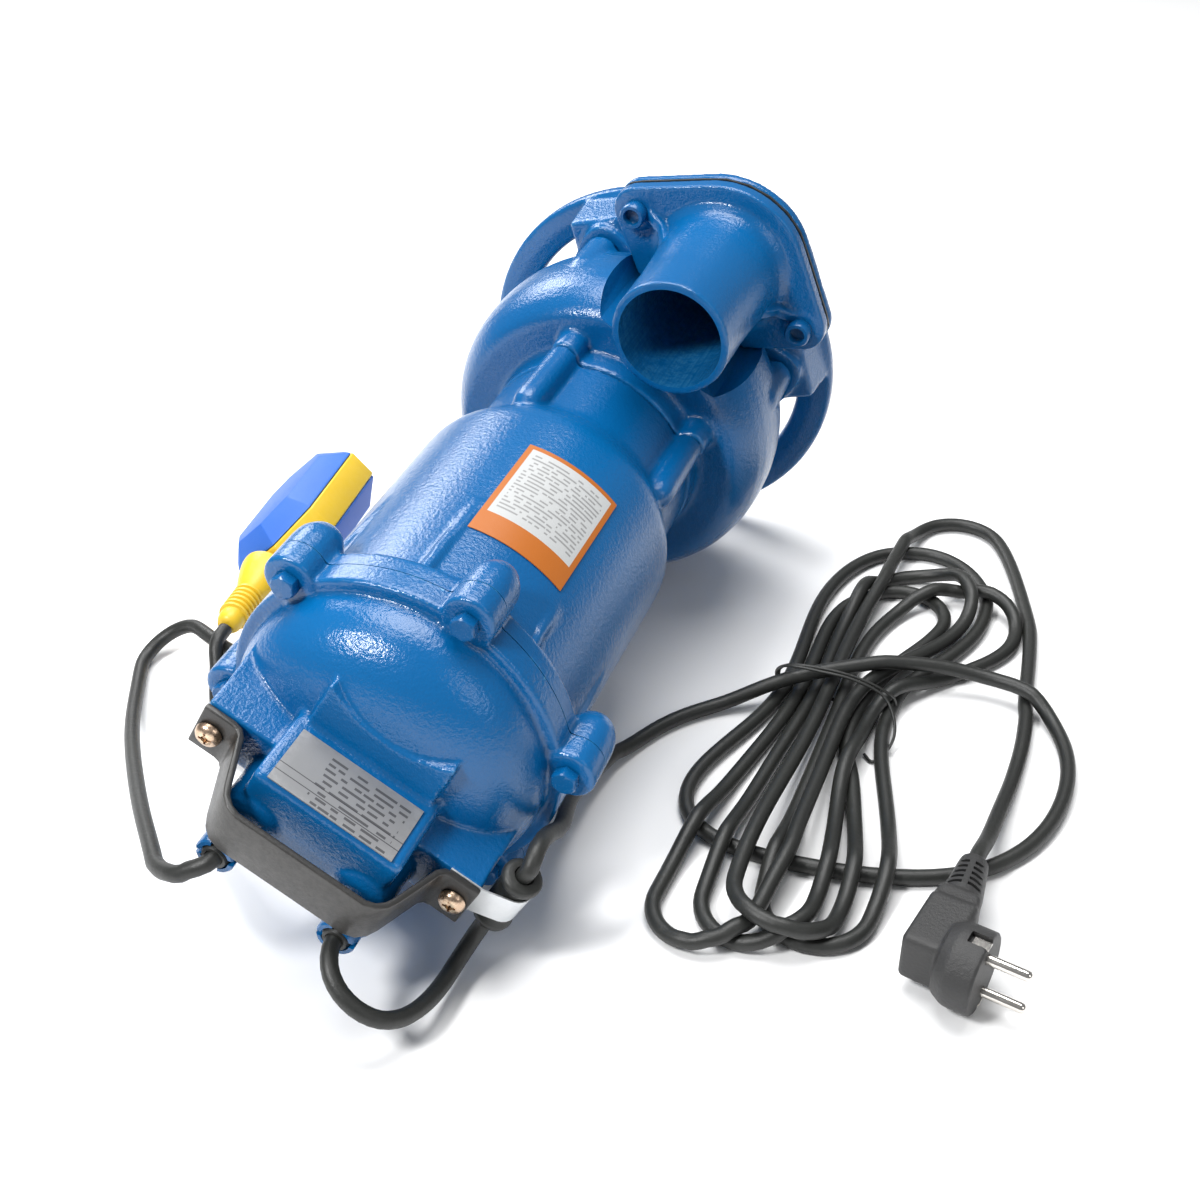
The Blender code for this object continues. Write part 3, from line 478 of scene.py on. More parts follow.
@dataclass(frozen=True)
class Finish:
    """One finish: the colours and the grain that its skin group is given, and the shader's own values."""

    name: str
    slot: str
    colour: Point3
    second: Point3
    # the colour of sharp edges, partly wear and partly painted highlight
    edge: Point3
    # painted shade: the colour laid in creases and recesses
    painted_shade: Point3 = (0.01, 0.01, 0.01)
    roughness: float = 0.4
    metallic: float = 0.0
    coat: float = 0.0
    coarse: float = 300.0
    fine: float = 1300.0
    depth: float = 0.2
    # how strongly sharp edges take the edge colour, which is partly wear and partly painted highlight
    rub_and_highlight: float = 0.3

    def material(self) -> bpy.types.Material:
        """Builds the material the first time, and returns it."""
        name = f"finish_{self.name}"
        if name in bpy.data.materials:
            return bpy.data.materials[name]
        made = bpy.data.materials.new(name)
        made.use_nodes = True
        graph = Graph(made.node_tree)
        shader = made.node_tree.nodes["Principled BSDF"]
        skin = graph.node("ShaderNodeGroup", node_tree=skin_group())
        for label, value in (
            ("Colour", (*self.colour, 1.0)), ("Colour 2", (*self.second, 1.0)), ("Hollow", (*self.painted_shade, 1.0)),
            ("Edge", (*self.edge, 1.0)), ("Coarse", self.coarse), ("Fine", self.fine), ("Depth", self.depth),
            ("Roughness", self.roughness), ("Wear", self.rub_and_highlight),
        ):
            skin.inputs[label].default_value = value
        links = made.node_tree.links
        links.new(skin.outputs["Colour"], shader.inputs["Base Color"])
        links.new(skin.outputs["Roughness"], shader.inputs["Roughness"])
        links.new(skin.outputs["Normal"], shader.inputs["Normal"])
        shader.inputs["Metallic"].default_value = self.metallic
        shader.inputs["Coat Weight"].default_value = self.coat
        shader.inputs["Coat Roughness"].default_value = 0.12
        self.extend(graph, shader, skin)
        return made

    def extend(self, graph: Graph, shader: bpy.types.Node, skin: bpy.types.Node) -> None:
        """Adds nothing; a finish with more on it does."""


@dataclass(frozen=True)
class PrintedFinish(Finish):
    """A plate or a label with plain bars over its skin."""

    ink: Point3 = (0.05, 0.05, 0.05)
    border: Point3 | None = None
    rules: tuple[float, ...] = ()
    rows: float = 12.0
    words: float = 14.0
    left: float = 0.1
    right: float = 0.9
    low: float = 0.1
    high: float = 0.9

    def extend(self, graph: Graph, shader: bpy.types.Node, skin: bpy.types.Node) -> None:
        """Lays the border, the bars and the rules over the skin's colour."""
        bars = graph.node("ShaderNodeGroup", node_tree=print_group())
        for label, value in (
            ("Rows", self.rows), ("Words", self.words), ("Left", self.left), ("Right", self.right),
            ("Low", self.low), ("High", self.high),
        ):
            bars.inputs[label].default_value = value
        tone = graph.mix(graph.math("MULTIPLY", bars.outputs[0], 0.8), skin.outputs["Colour"], (*self.ink, 1.0))
        uv = graph.tree.nodes.new("ShaderNodeTexCoord").outputs["UV"]
        parts = graph.node("ShaderNodeSeparateXYZ", i0=uv)
        for rule in self.rules:
            near = graph.math("LESS_THAN", graph.math("ABSOLUTE", graph.math("SUBTRACT", parts.outputs[1], rule)), 0.008)
            tone = graph.mix(graph.math("MULTIPLY", near, 0.85), tone, (*self.ink, 1.0))
        if self.border is not None:
            inside = graph.math("MULTIPLY", graph.math("GREATER_THAN", parts.outputs[0], 0.055), graph.math("LESS_THAN", parts.outputs[0], 0.945))
            rise = graph.math("MULTIPLY", graph.math("GREATER_THAN", parts.outputs[1], 0.04), graph.math("LESS_THAN", parts.outputs[1], 0.79))
            tone = graph.mix(graph.math("MULTIPLY", inside, rise), (*self.border, 1.0), tone)
        graph.tree.links.new(tone, shader.inputs["Base Color"])


class Paint(Enum):
    """Every finish on the pump and its cables."""

    # The fourth colour of each finish is painted shade, laid in its creases and recesses.
    # The third colour of each finish lightens its sharp edges: partly wear, partly painted highlight.
    ENAMEL = Finish(
        "blue_enamel", "blue_enamel", (0.001, 0.085, 0.25), (0.001, 0.105, 0.3), (0.08, 0.36, 0.6),
        (0.001, 0.014, 0.045), 0.2, 0.0, 0.0, 520.0, 1150.0, 0.15, 0.55,
    )
    BOLT = Finish(
        "painted_bolt", "blue_enamel", (0.001, 0.075, 0.22), (0.001, 0.095, 0.27), (0.08, 0.36, 0.6),
        (0.001, 0.014, 0.045), 0.24, 0.0, 0.0, 420.0, 1400.0, 0.05, 0.0,
    )
    HANDLE = Finish(
        "black_strap", "black_steel", (0.012, 0.012, 0.011), (0.02, 0.019, 0.018), (0.16, 0.15, 0.14),
        (0.01, 0.01, 0.01), 0.42, 0.0, 0.15, 500.0, 2200.0, 0.1, 0.5,
    )
    ZINC = Finish(
        "yellow_zinc", "yellow_zinc", (0.56, 0.42, 0.27), (0.52, 0.34, 0.28), (0.8, 0.7, 0.5), (0.15, 0.08, 0.05),
        0.3, 1.0, 0.0, 150.0, 900.0, 0.06, 0.6,
    )
    CLIP = Finish(
        "galvanised", "galvanised", (0.74, 0.76, 0.77), (0.66, 0.68, 0.7), (0.9, 0.9, 0.9), (0.3, 0.3, 0.3),
        0.34, 0.85, 0.0, 120.0, 700.0, 0.05, 0.3,
    )
    STEEL = Finish(
        "machined_steel", "steel", (0.52, 0.53, 0.54), (0.44, 0.45, 0.47), (0.7, 0.7, 0.7), (0.15, 0.15, 0.15),
        0.3, 1.0, 0.0, 200.0, 1600.0, 0.05, 0.3,
    )
    IRON = Finish(
        "raw_casting", "cast_iron", (0.12, 0.12, 0.12), (0.17, 0.165, 0.16), (0.35, 0.34, 0.33), (0.05, 0.05, 0.05),
        0.55, 0.75, 0.0, 380.0, 1500.0, 0.4, 0.4,
    )
    COPPER = Finish(
        "winding_wire", "copper", (0.5, 0.16, 0.06), (0.62, 0.24, 0.1), (0.75, 0.4, 0.2), (0.15, 0.05, 0.02),
        0.35, 0.8, 0.3, 900.0, 2600.0, 0.7, 0.4,
    )
    RUBBER = Finish(
        "cable_rubber", "black_rubber", (0.011, 0.012, 0.011), (0.017, 0.018, 0.016), (0.07, 0.07, 0.07),
        (0.012, 0.012, 0.012), 0.46, 0.0, 0.0, 260.0, 1800.0, 0.12, 0.2,
    )
    PLUG = Finish(
        "plug_rubber", "black_rubber", (0.02, 0.02, 0.021), (0.027, 0.027, 0.027), (0.07, 0.07, 0.07),
        (0.008, 0.008, 0.008), 0.5, 0.0, 0.0, 700.0, 2800.0, 0.22, 0.35,
    )
    FLOAT_BLUE = Finish(
        "float_blue", "float_blue", (0.018, 0.11, 0.47), (0.024, 0.13, 0.51), (0.12, 0.28, 0.62), (0.008, 0.04, 0.22),
        0.52, 0.0, 0.0, 200.0, 2000.0, 0.07, 0.35,
    )
    FLOAT_YELLOW = Finish(
        "float_yellow", "float_yellow", (0.72, 0.46, 0.02), (0.78, 0.51, 0.03), (0.85, 0.65, 0.2), (0.42, 0.24, 0.0),
        0.4, 0.0, 0.0, 200.0, 2000.0, 0.08, 0.4,
    )
    NICKEL = Finish(
        "nickel", "nickel", (0.78, 0.74, 0.68), (0.72, 0.69, 0.65), (0.9, 0.88, 0.84), (0.3, 0.28, 0.25), 0.16, 1.0,
        0.0, 150.0, 1500.0, 0.03, 0.3,
    )
    GREY = Finish(
        "grey_plastic", "grey_plastic", (0.3, 0.31, 0.33), (0.33, 0.34, 0.36), (0.5, 0.5, 0.5), (0.1, 0.1, 0.1), 0.45,
        0.0, 0.0, 300.0, 1500.0, 0.1, 0.3,
    )
    NAMEPLATE = PrintedFinish(
        "silver_plate", "silver_label", (0.23, 0.235, 0.24), (0.27, 0.27, 0.275), (0.6, 0.6, 0.6), (0.2, 0.2, 0.2),
        0.42, 0.6, 0.0, 80.0, 1800.0, 0.04, 0.2, ink=(0.05, 0.05, 0.055), rules=(0.2, 0.34), rows=10.0, words=15.0,
        left=0.07, right=0.72, low=0.02, high=0.93,
    )
    STICKER = PrintedFinish(
        "orange_label", "paper_label", (0.43, 0.44, 0.44), (0.47, 0.48, 0.48), (0.7, 0.7, 0.69), (0.3, 0.3, 0.3), 0.42,
        0.0, 0.15, 120.0, 1500.0, 0.05, 0.2, ink=(0.2, 0.2, 0.2), border=(0.4, 0.112, 0.01), rows=26.0, words=16.0,
        left=0.1, right=0.9, low=0.07, high=0.74,
    )


def dress(obj: bpy.types.Object, paint: Paint, body: str, *nodes: str) -> bpy.types.Object:
    """Gives a piece its finish, hangs it on the body that it rides on and logs that, and hides the frame's nodes that
    it replaces.

    Args:
        obj: the new piece.
        paint: its finish.
        body: the body that it moves with.
        nodes: the frame's nodes that it replaces.

    Returns:
        The piece.
    """
    obj.data.materials.clear()
    obj.data.materials.append(paint.value.material())
    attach(obj, body)
    if nodes:
        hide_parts(*nodes)
    LOG.info("%s rides on %s", obj.name, body)
    return obj


def repaint(paint: Paint, *nodes: str) -> None:
    """Gives nodes of the frame, whose shape is right, their finish."""
    for node in nodes:
        obj = FRAME["nodes"][node]
        obj.data.materials.clear()
        obj.data.materials.append(paint.value.material())


# ---- castings --------------------------------------------------------------------------------------


@dataclass
class Casing:
    """The motor casing: a neck on four posts, a shoulder, a barrel with ribs and a bolted flange."""

    barrel: float = 69.4
    seam: float = 340.6
    flange: float = 79.0
    lug_circle: float = 82.0
    lug_radius: float = 12.0
    neck: float = 57.5
    neck_low: float = 125.4

    def profile(self) -> list[Point2]:
        """Returns the outside profile from the neck to the flange."""
        return [
            (0, self.neck_low), (self.neck, self.neck_low), (self.neck, 165), (58.6, 170), (61.2, 175), (64.5, 180.5),
            (67.6, 186.5), (69, 191), (self.barrel, 196), (self.barrel, 322), (70.2, 326), (73, 329.5),
            (self.flange - 0.8, 331), (self.flange, 332), (self.flange, self.seam + 4), (0, self.seam + 4),
        ]

    def solids(self) -> list[Solid]:
        """Returns the barrel, its lugs, ribs and posts."""
        found = [Solid.turned(self.profile(), 160)]
        for degrees in range(0, 360, 60):
            lug = Solid.turned([(0, 315), (4, 316), (8.5, 320), (11.4, 326), (self.lug_radius, 332), (self.lug_radius, self.seam + 4), (0, self.seam + 4)], 40)
            found.append(lug.moved(*polar(self.lug_circle, degrees), 0))
            web = Solid.block((-8, 8), (60, self.lug_circle), (326, self.seam + 4))
            found.append(web.spun(-degrees))
        for degrees, low in ((-23.4, 268), (23.4, 296), (67.5, 274), (112.5, 262), (-67.5, 262), (-112.5, 262)):
            rib = Solid.slab([(66, low - 6), (self.barrel + 0.3, low), (self.barrel + 3, 324), (self.barrel + 3, 330), (66, 330)], -2.2, 2.2)
            found.append(rib.spun(90, "X").spun(90 - degrees))
        for degrees in (40, 140, 220, 320):
            post = Solid.turned([(0, self.neck_low), (8, self.neck_low), (8, 170), (7, 175), (4, 179), (0, 180)], 36)
            found.append(post.moved(*polar(61, degrees), 0))
        return found

    def build(self) -> None:
        """Builds and dresses the casing."""
        shell = fused("casing_shell", self.solids(), PUMP, 1.35, 3)
        bore = Solid.turned([
            (0, 120), (50.6, 120), (50.6, 144), (12.4, 150), (12.4, 156), (23.8, 156), (23.8, 173), (50, 176), (62, 186),
            (62, 337), (66, 337), (66, 338.5), (66, 350), (0, 350),
        ], 64)
        cut(shell, [bore, Solid.rod(120, self.seam, 352)], PUMP)
        dress(smooth(shell, 40), Paint.ENAMEL, "pump", "motor_casing")


@dataclass
class Cap:
    """The cap: a dome with ears, a cable box and two gland bosses."""

    flange: float = 79.0
    seam: float = 341.1
    flange_top: float = 352.5
    ear_level: float = 405.3
    box_top: float = 428.0
    glands: Point2 = (29.5, -22.5)

    def dome(self) -> list[Point2]:
        """Returns the outside profile of the dome."""
        rim = [(0, self.seam - 4), (self.flange, self.seam - 4), (self.flange, self.flange_top - 1), (78, self.flange_top)]
        radii = [72.4 * math.cos(math.radians(4.5 * step)) ** 0.8 for step in range(20)]
        crown = [(r, self.flange_top + 39 * (1 - (r / 72.4) ** 2.6) ** 0.42) for r in radii]
        return [*rim, *crown, (0, self.flange_top + 39)]

    def solids(self) -> list[Solid]:
        """Returns the dome, the lugs, the ears, the box, its step and the gland bosses."""
        found = [Solid.turned(self.dome(), 160)]
        for degrees in range(0, 360, 60):
            lug = Solid.turned([(0, self.seam - 4), (12, self.seam - 4), (12, self.flange_top), (11, self.flange_top + 1.1), (0, self.flange_top + 1.1)], 40)
            found.append(lug.moved(*polar(82, degrees), 0))
            found.append(Solid.block((-9, 9), (60, 82), (self.seam - 4, self.flange_top + 0.6)).spun(-degrees))
        box = [(-35, -30), (35, -30), (35, 22), (-35, 22)]
        found.append(Solid.slab(box, 372, self.box_top).bevelled(3, 3))
        step = Solid.slab([(-30.5, 14), (30.5, 14), (30.5, 44), *arc((0, 93.5), 58, 301.5, 238.5, 16), (-30.5, 44)], 368, 398)
        bmesh.ops.bisect_plane(
            step.mesh, geom=step.mesh.verts[:] + step.mesh.edges[:] + step.mesh.faces[:], plane_co=(0, 22, 392.6),
            plane_no=(0, 0.17, 1), clear_outer=True,
        )
        bmesh.ops.holes_fill(step.mesh, edges=step.mesh.edges, sides=0)
        bmesh.ops.recalc_face_normals(step.mesh, faces=step.mesh.faces)
        found.append(step)
        for side in (-1, 1):
            ear = [(side * 24, 352), (side * 69, 352), (side * 68, 372), (side * 67, 390), (side * 67, self.ear_level), (side * 24, self.ear_level)]
            if side < 0:
                ear.reverse()
            found.append(Solid.slab(ear, -13, 13).spun(90, "X").bevelled(0.8, 2))
            boss = [(0, 395), (14, 395), (14, 426), (12.6, 429.5), (9, 431.6), (0, 432)]
            found.append(Solid.turned(boss, 48).moved(side * 26.5, -7, 0))
            gland = [(0, 395), (13, 395), (13, 430), (12.2, 432), (11, 432.8), (0, 432.8)]
            found.append(Solid.turned(gland, 48).moved(side * 28, -19.5, 0))
        return found

    def build(self) -> None:
        """Builds and dresses the cap and its O-ring."""
        shell = fused("cap_shell", self.solids(), PUMP, 1.0, 2)
        inside = Solid.turned([
            (0, 330), (65, 330), (65, 354), (62, 364), (56, 371), (48, 377), (38, 381.4), (22, 384.2), (0, 385),
        ], 64)
        tools = [inside, Solid.rod(120, 320, self.seam)]
        for side in (-1, 1):
            tools.append(Solid.rod(4.6, 370, 440, (side * self.glands[0], self.glands[1]), 32))
            tools.append(Solid.rod(3.2, 390, 410, (side * 60.3, 0), 24))
        cut(shell, tools, PUMP)
        dress(smooth(shell, 40), Paint.ENAMEL, "pump", "top_cap")
        repaint(Paint.RUBBER, "cap_o_ring")


def flange_outline(grow: float = 0.0, front: float | None = None) -> list[Point2]:
    """Returns the two-eared outline round the discharge.

    Args:
        grow: how far outside the flange's own edge it runs.
        front: where it is cut straight on the motor side, if it is.

    Returns:
        The anticlockwise outline.
    """
    mesh = bmesh.new()
    points = arc((0, 101), 46.7 + grow, 0, 354, 59)
    for side in (-1, 1):
        points += arc((side * 52.7, 101), 13 + grow, 0, 345, 23)
    if front is not None:
        points = [(x, max(y, front)) for x, y in points]
    for x, y in points:
        mesh.verts.new((x, y, 0))
    bmesh.ops.remove_doubles(mesh, verts=mesh.verts, dist=0.01)
    made = bmesh.ops.convex_hull(mesh, input=mesh.verts)
    rim = {v for item in made["geom"] if isinstance(item, bmesh.types.BMEdge) for v in item.verts}
    centre = Vector((0, 101, 0))
    found = sorted({(round(v.co.x, 3), round(v.co.y, 3)) for v in rim}, key=lambda p: math.atan2(p[1] - centre.y, p[0]))
    mesh.free()
    return found


@dataclass
class Discharge:
    """The discharge pipe on its two-eared flange, with its gasket and two socket screws."""

    flange_top: float = 57.5
    flange_low: float = 49.0
    end: float = 136.0
    bore: float = 26.6

    def solids(self) -> list[Solid]:
        """Returns the flange, the barrel, its raised rim and the webs to the ears."""
        plate = Solid.slab(flange_outline(-0.2, 70.6), self.flange_low, self.flange_top).bevelled(0.8, 2)
        barrel = Solid.turned([
            (0, 50), (37.5, 50), (37.2, 58.5), (34.4, 61.5), (33, 66), (32, 74), (31.2, 88), (30.5, 104), (30.3, self.end), (0, self.end),
        ], 128).moved(0, 101, 0)
        found = [plate, barrel]
        for side in (-1, 1):
            web = [(side * 26, 52), (side * 51, 52), (side * 49, self.flange_top + 0.5), (side * 38, 63), (side * 31, 76), (side * 26, 84)]
            if side < 0:
                web.reverse()
            found.append(Solid.slab(web, -107, -101).spun(90, "X"))
            found.append(Solid.rod(9.4, 50, self.flange_top + 0.5, (side * 52.7, 101), 36))
        return found

    def build(self) -> None:
        """Builds and dresses the discharge."""
        pipe = fused("discharge_pipe_skin", self.solids(), PUMP, 0.95, 2)
        tools = [Solid.rod(self.bore, 30, 150, (0, 101), 96), Solid.block((-60, 60), (20, 70.4), (40, 150))]
        tools += [Solid.rod(4.3, 40, 70, (side * 52.7, 101), 24) for side in (-1, 1)]
        cut(pipe, tools, PUMP)
        dress(smooth(pipe, 40), Paint.ENAMEL, "pump", "discharge_pipe")
        gasket = copied("flange_gasket", "gasket_sheet", 0)
        dress(gasket, Paint.RUBBER, "pump", "flange_gasket")
        for side, node in ((-1, "flange_bolt_left"), (1, "flange_bolt_right")):
            head = Solid.turned([
                (0, 57.9), (6.2, 57.9), (6.6, 58.4), (6.6, 65), (6, 65.8), (4.4, 65.8), (4, 65.3), (4, 61.5), (0, 61.2),
            ], 40).moved(side * 52.7, 101, 0)
            socket = put(f"socket_screw_{side + 2}", [head], PUMP)
            dress(smooth(socket, 40), Paint.BOLT, "pump", node)


@dataclass
class Volute:
    """The pump casing: a round chamber, the elbow under the flange, four bosses and four posts."""

    bottom: float = 40.7
    neck: float = 58.0
    seam: float = 124.9

    def solids(self) -> list[Solid]:
        """Returns the chamber, the neck, the elbow and the bosses."""
        outside = [
            (0, self.bottom), (80, self.bottom), (83.5, 45), (86.2, 51), (88.2, 59), (89.3, 68), (89.6, 78), (89, 87), (87.2, 95),
            (84.6, 101), (82, 105), (79.4, 108), (76.6, 109.8), (73.8, 110.4), (60, 110.4), (58.4, 111.2), (self.neck, 113), (self.neck, self.seam), (0, self.seam),
        ]
        found = [
            Solid.turned(outside, 160),
            Solid.slab(flange_outline(0.2), 40.7, 47.0).bevelled(0.8, 2),
            Solid.turned([(0, 12.6), (22, 12.6), (28, 14), (32.5, 17.5), (35.2, 22.5), (36, 28), (36, 44), (0, 44)], 96).moved(0, 101, 0),
            Solid.block((-31, 31), (50, 101), (17, 44)).bevelled(5, 4),
        ]
        for degrees in (45, 135, 225, 315):
            boss = Solid.turned([(0, self.bottom), (9.5, self.bottom), (9.5, 70), (8, 75), (4.5, 78), (0, 79)], 40)
            found.append(boss.moved(*polar(82, degrees), 0))
        for degrees in (40, 140, 220, 320):
            post = Solid.turned([(0, 104), (8.5, 104), (8.7, 113), (8.4, 119), (7.8, self.seam - 0.2), (0, self.seam - 0.2)], 36)
            found.append(post.moved(*polar(61.5, degrees), 0))
        return found

    def build(self) -> None:
        """Builds and dresses the pump casing."""
        shell = fused("volute_shell", self.solids(), PUMP, 1.35, 3)
        chamber = Solid.turned([(0, 46.2), (70, 46.2), (78, 54), (81, 70), (79, 88), (72, 98), (0, 98)], 64)
        room = put("chamber_tool", [chamber], PUMP)
        cut(room, [Solid.block((-60, 60), (62.5, 110), (40, 105))], PUMP)
        modifier = shell.modifiers.new("chamber", "BOOLEAN")
        modifier.operation = "DIFFERENCE"
        modifier.solver = "MANIFOLD"
        modifier.object = room
        baked(shell)
        bpy.data.objects.remove(room)
        tools = [
            Solid.rod(42, 30, 50, steps=64), Solid.rod(45, 90, 110, steps=64), Solid.rod(50.4, 103, 130, steps=64),
            Solid.slab(flange_outline(1.0, 69.4), 47.0, 130), Solid.rod(26.6, 20, 60, (0, 101), 64),
            Solid.block((-22, 22), (54.5, 101), (21, 42)), Solid.block((-22, 22), (54.5, 62), (30, 60)),
        ]
        tools += [Solid.rod(4.3, 34, 60, (side * 52.7, 101), 24) for side in (-1, 1)]
        tools += [Solid.rod(3.3, 38, 60, polar(82, 45 + 90 * corner), 20) for corner in range(4)]
        cut(shell, tools, PUMP)
        dress(smooth(shell, 40), Paint.ENAMEL, "pump", "volute_casing")


@dataclass
class Base:
    """The base: a ring on four legs under a wavy plate, with the suction cover and four bolts."""

    ring: float = 103.2
    ring_bore: float = 84.0

    def plate(self) -> list[Point2]:
        """Returns the plate's outline, which swells round each bolt."""
        outline = []
        for step in range(180):
            degrees = 2.0 * step
            off = abs((degrees - 45) % 90)
            off = min(off, 90 - off)
            swell = 0.5 + 0.5 * math.cos(math.pi * min(off / 17.0, 1.0))
            outline.append(polar(80 + 16 * swell, -degrees))
        return outline

    def build(self) -> None:
        """Builds and dresses the base."""
        ring = [
            (self.ring_bore, 0), (self.ring - 1.5, 0), (self.ring, 1.2), (self.ring, 6.8), (self.ring - 1.5, 8.6),
            (93.5, 9.6), (self.ring_bore + 1.5, 8.6), (self.ring_bore, 7.2),
        ]
        found = [Solid.turned(ring, 180), Solid.slab(self.plate(), 28.2, 39.8)]
        for corner in range(4):
            leg = Solid.slab([(85.5, 2), (101, 2), (97.5, 34), (79, 34)], -19, 19).spun(90, "X").bevelled(1.5, 2)
            found.append(leg.spun(45 + 90 * corner))
        stand = fused("base_casting", found, PUMP, 1.3, 2)
        tools = [
            Solid.rod(50.4, 32.7, 50, steps=64), Solid.rod(44, 20, 45, steps=64), Solid.block((-36, 36), (50, 120), (27, 41)),
        ]
        for corner in range(4):
            tools.append(Solid.turned([(0, -1), (6.6, -1), (6.6, 26), (3.3, 26), (3.3, 45), (0, 45)], 24).moved(*polar(82, 45 + 90 * corner), 0))
        cut(stand, tools, PUMP)
        dress(smooth(stand, 40), Paint.ENAMEL, "pump", "base_stand")
        cover = Solid.turned([
            (25.4, 31), (26.6, 29.6), (29.5, 29.2), (43.4, 31.2), (43.7, 33), (49.6, 33), (50, 33.4), (50, 40.2), (41.6, 40.2), (41.6, 45.2), (41.2, 45.6),
            (25.6, 45.6), (25, 45),
        ], 96)
        dress(smooth(put("suction_ring", [cover], PUMP), 40), Paint.IRON, "pump", "suction_cover")
        for number in range(4):
            dress(hex_bolt(f"base_hex_{number + 1}", polar(82, 45 + 90 * number), 20.1, 25.6, -1), Paint.STEEL, "pump", f"base_bolt_{number + 1}")


def hex_bolt(name: str, at: Point2, low: float, high: float, way: int = 1) -> bpy.types.Object:
    """Makes a hexagon head with a chamfered top, along the pump's axis.

    Args:
        name: the object's name.
        at: its place across the axis.
        low: where the head starts.
        high: where the head ends.
        way: 1 when the chamfered side faces up, -1 when it faces down.

    Returns:
        The object.
    """
    top, foot = (high, low) if way > 0 else (low, high)
    head = Solid.slab(arc((0, 0), 6.1, 0, 300, 5), low, high).bevelled(0.35, 2)
    limit = Solid.turned([(0, foot), (6.4, foot), (6.4, top - way * 1.3), (5.1, top), (0, top)], 48)
    bolt = put(name, [head.moved(*at, 0)], PUMP)
    tool = put("chamfer", [limit.moved(*at, 0)], PUMP)
    modifier = bolt.modifiers.new("chamfer", "BOOLEAN")
    modifier.operation = "INTERSECT"
    modifier.solver = "MANIFOLD"
    modifier.object = tool
    baked(bolt)
    bpy.data.objects.remove(tool)
    return smooth(bolt, 30)


# ---- fittings --------------------------------------------------------------------------------------


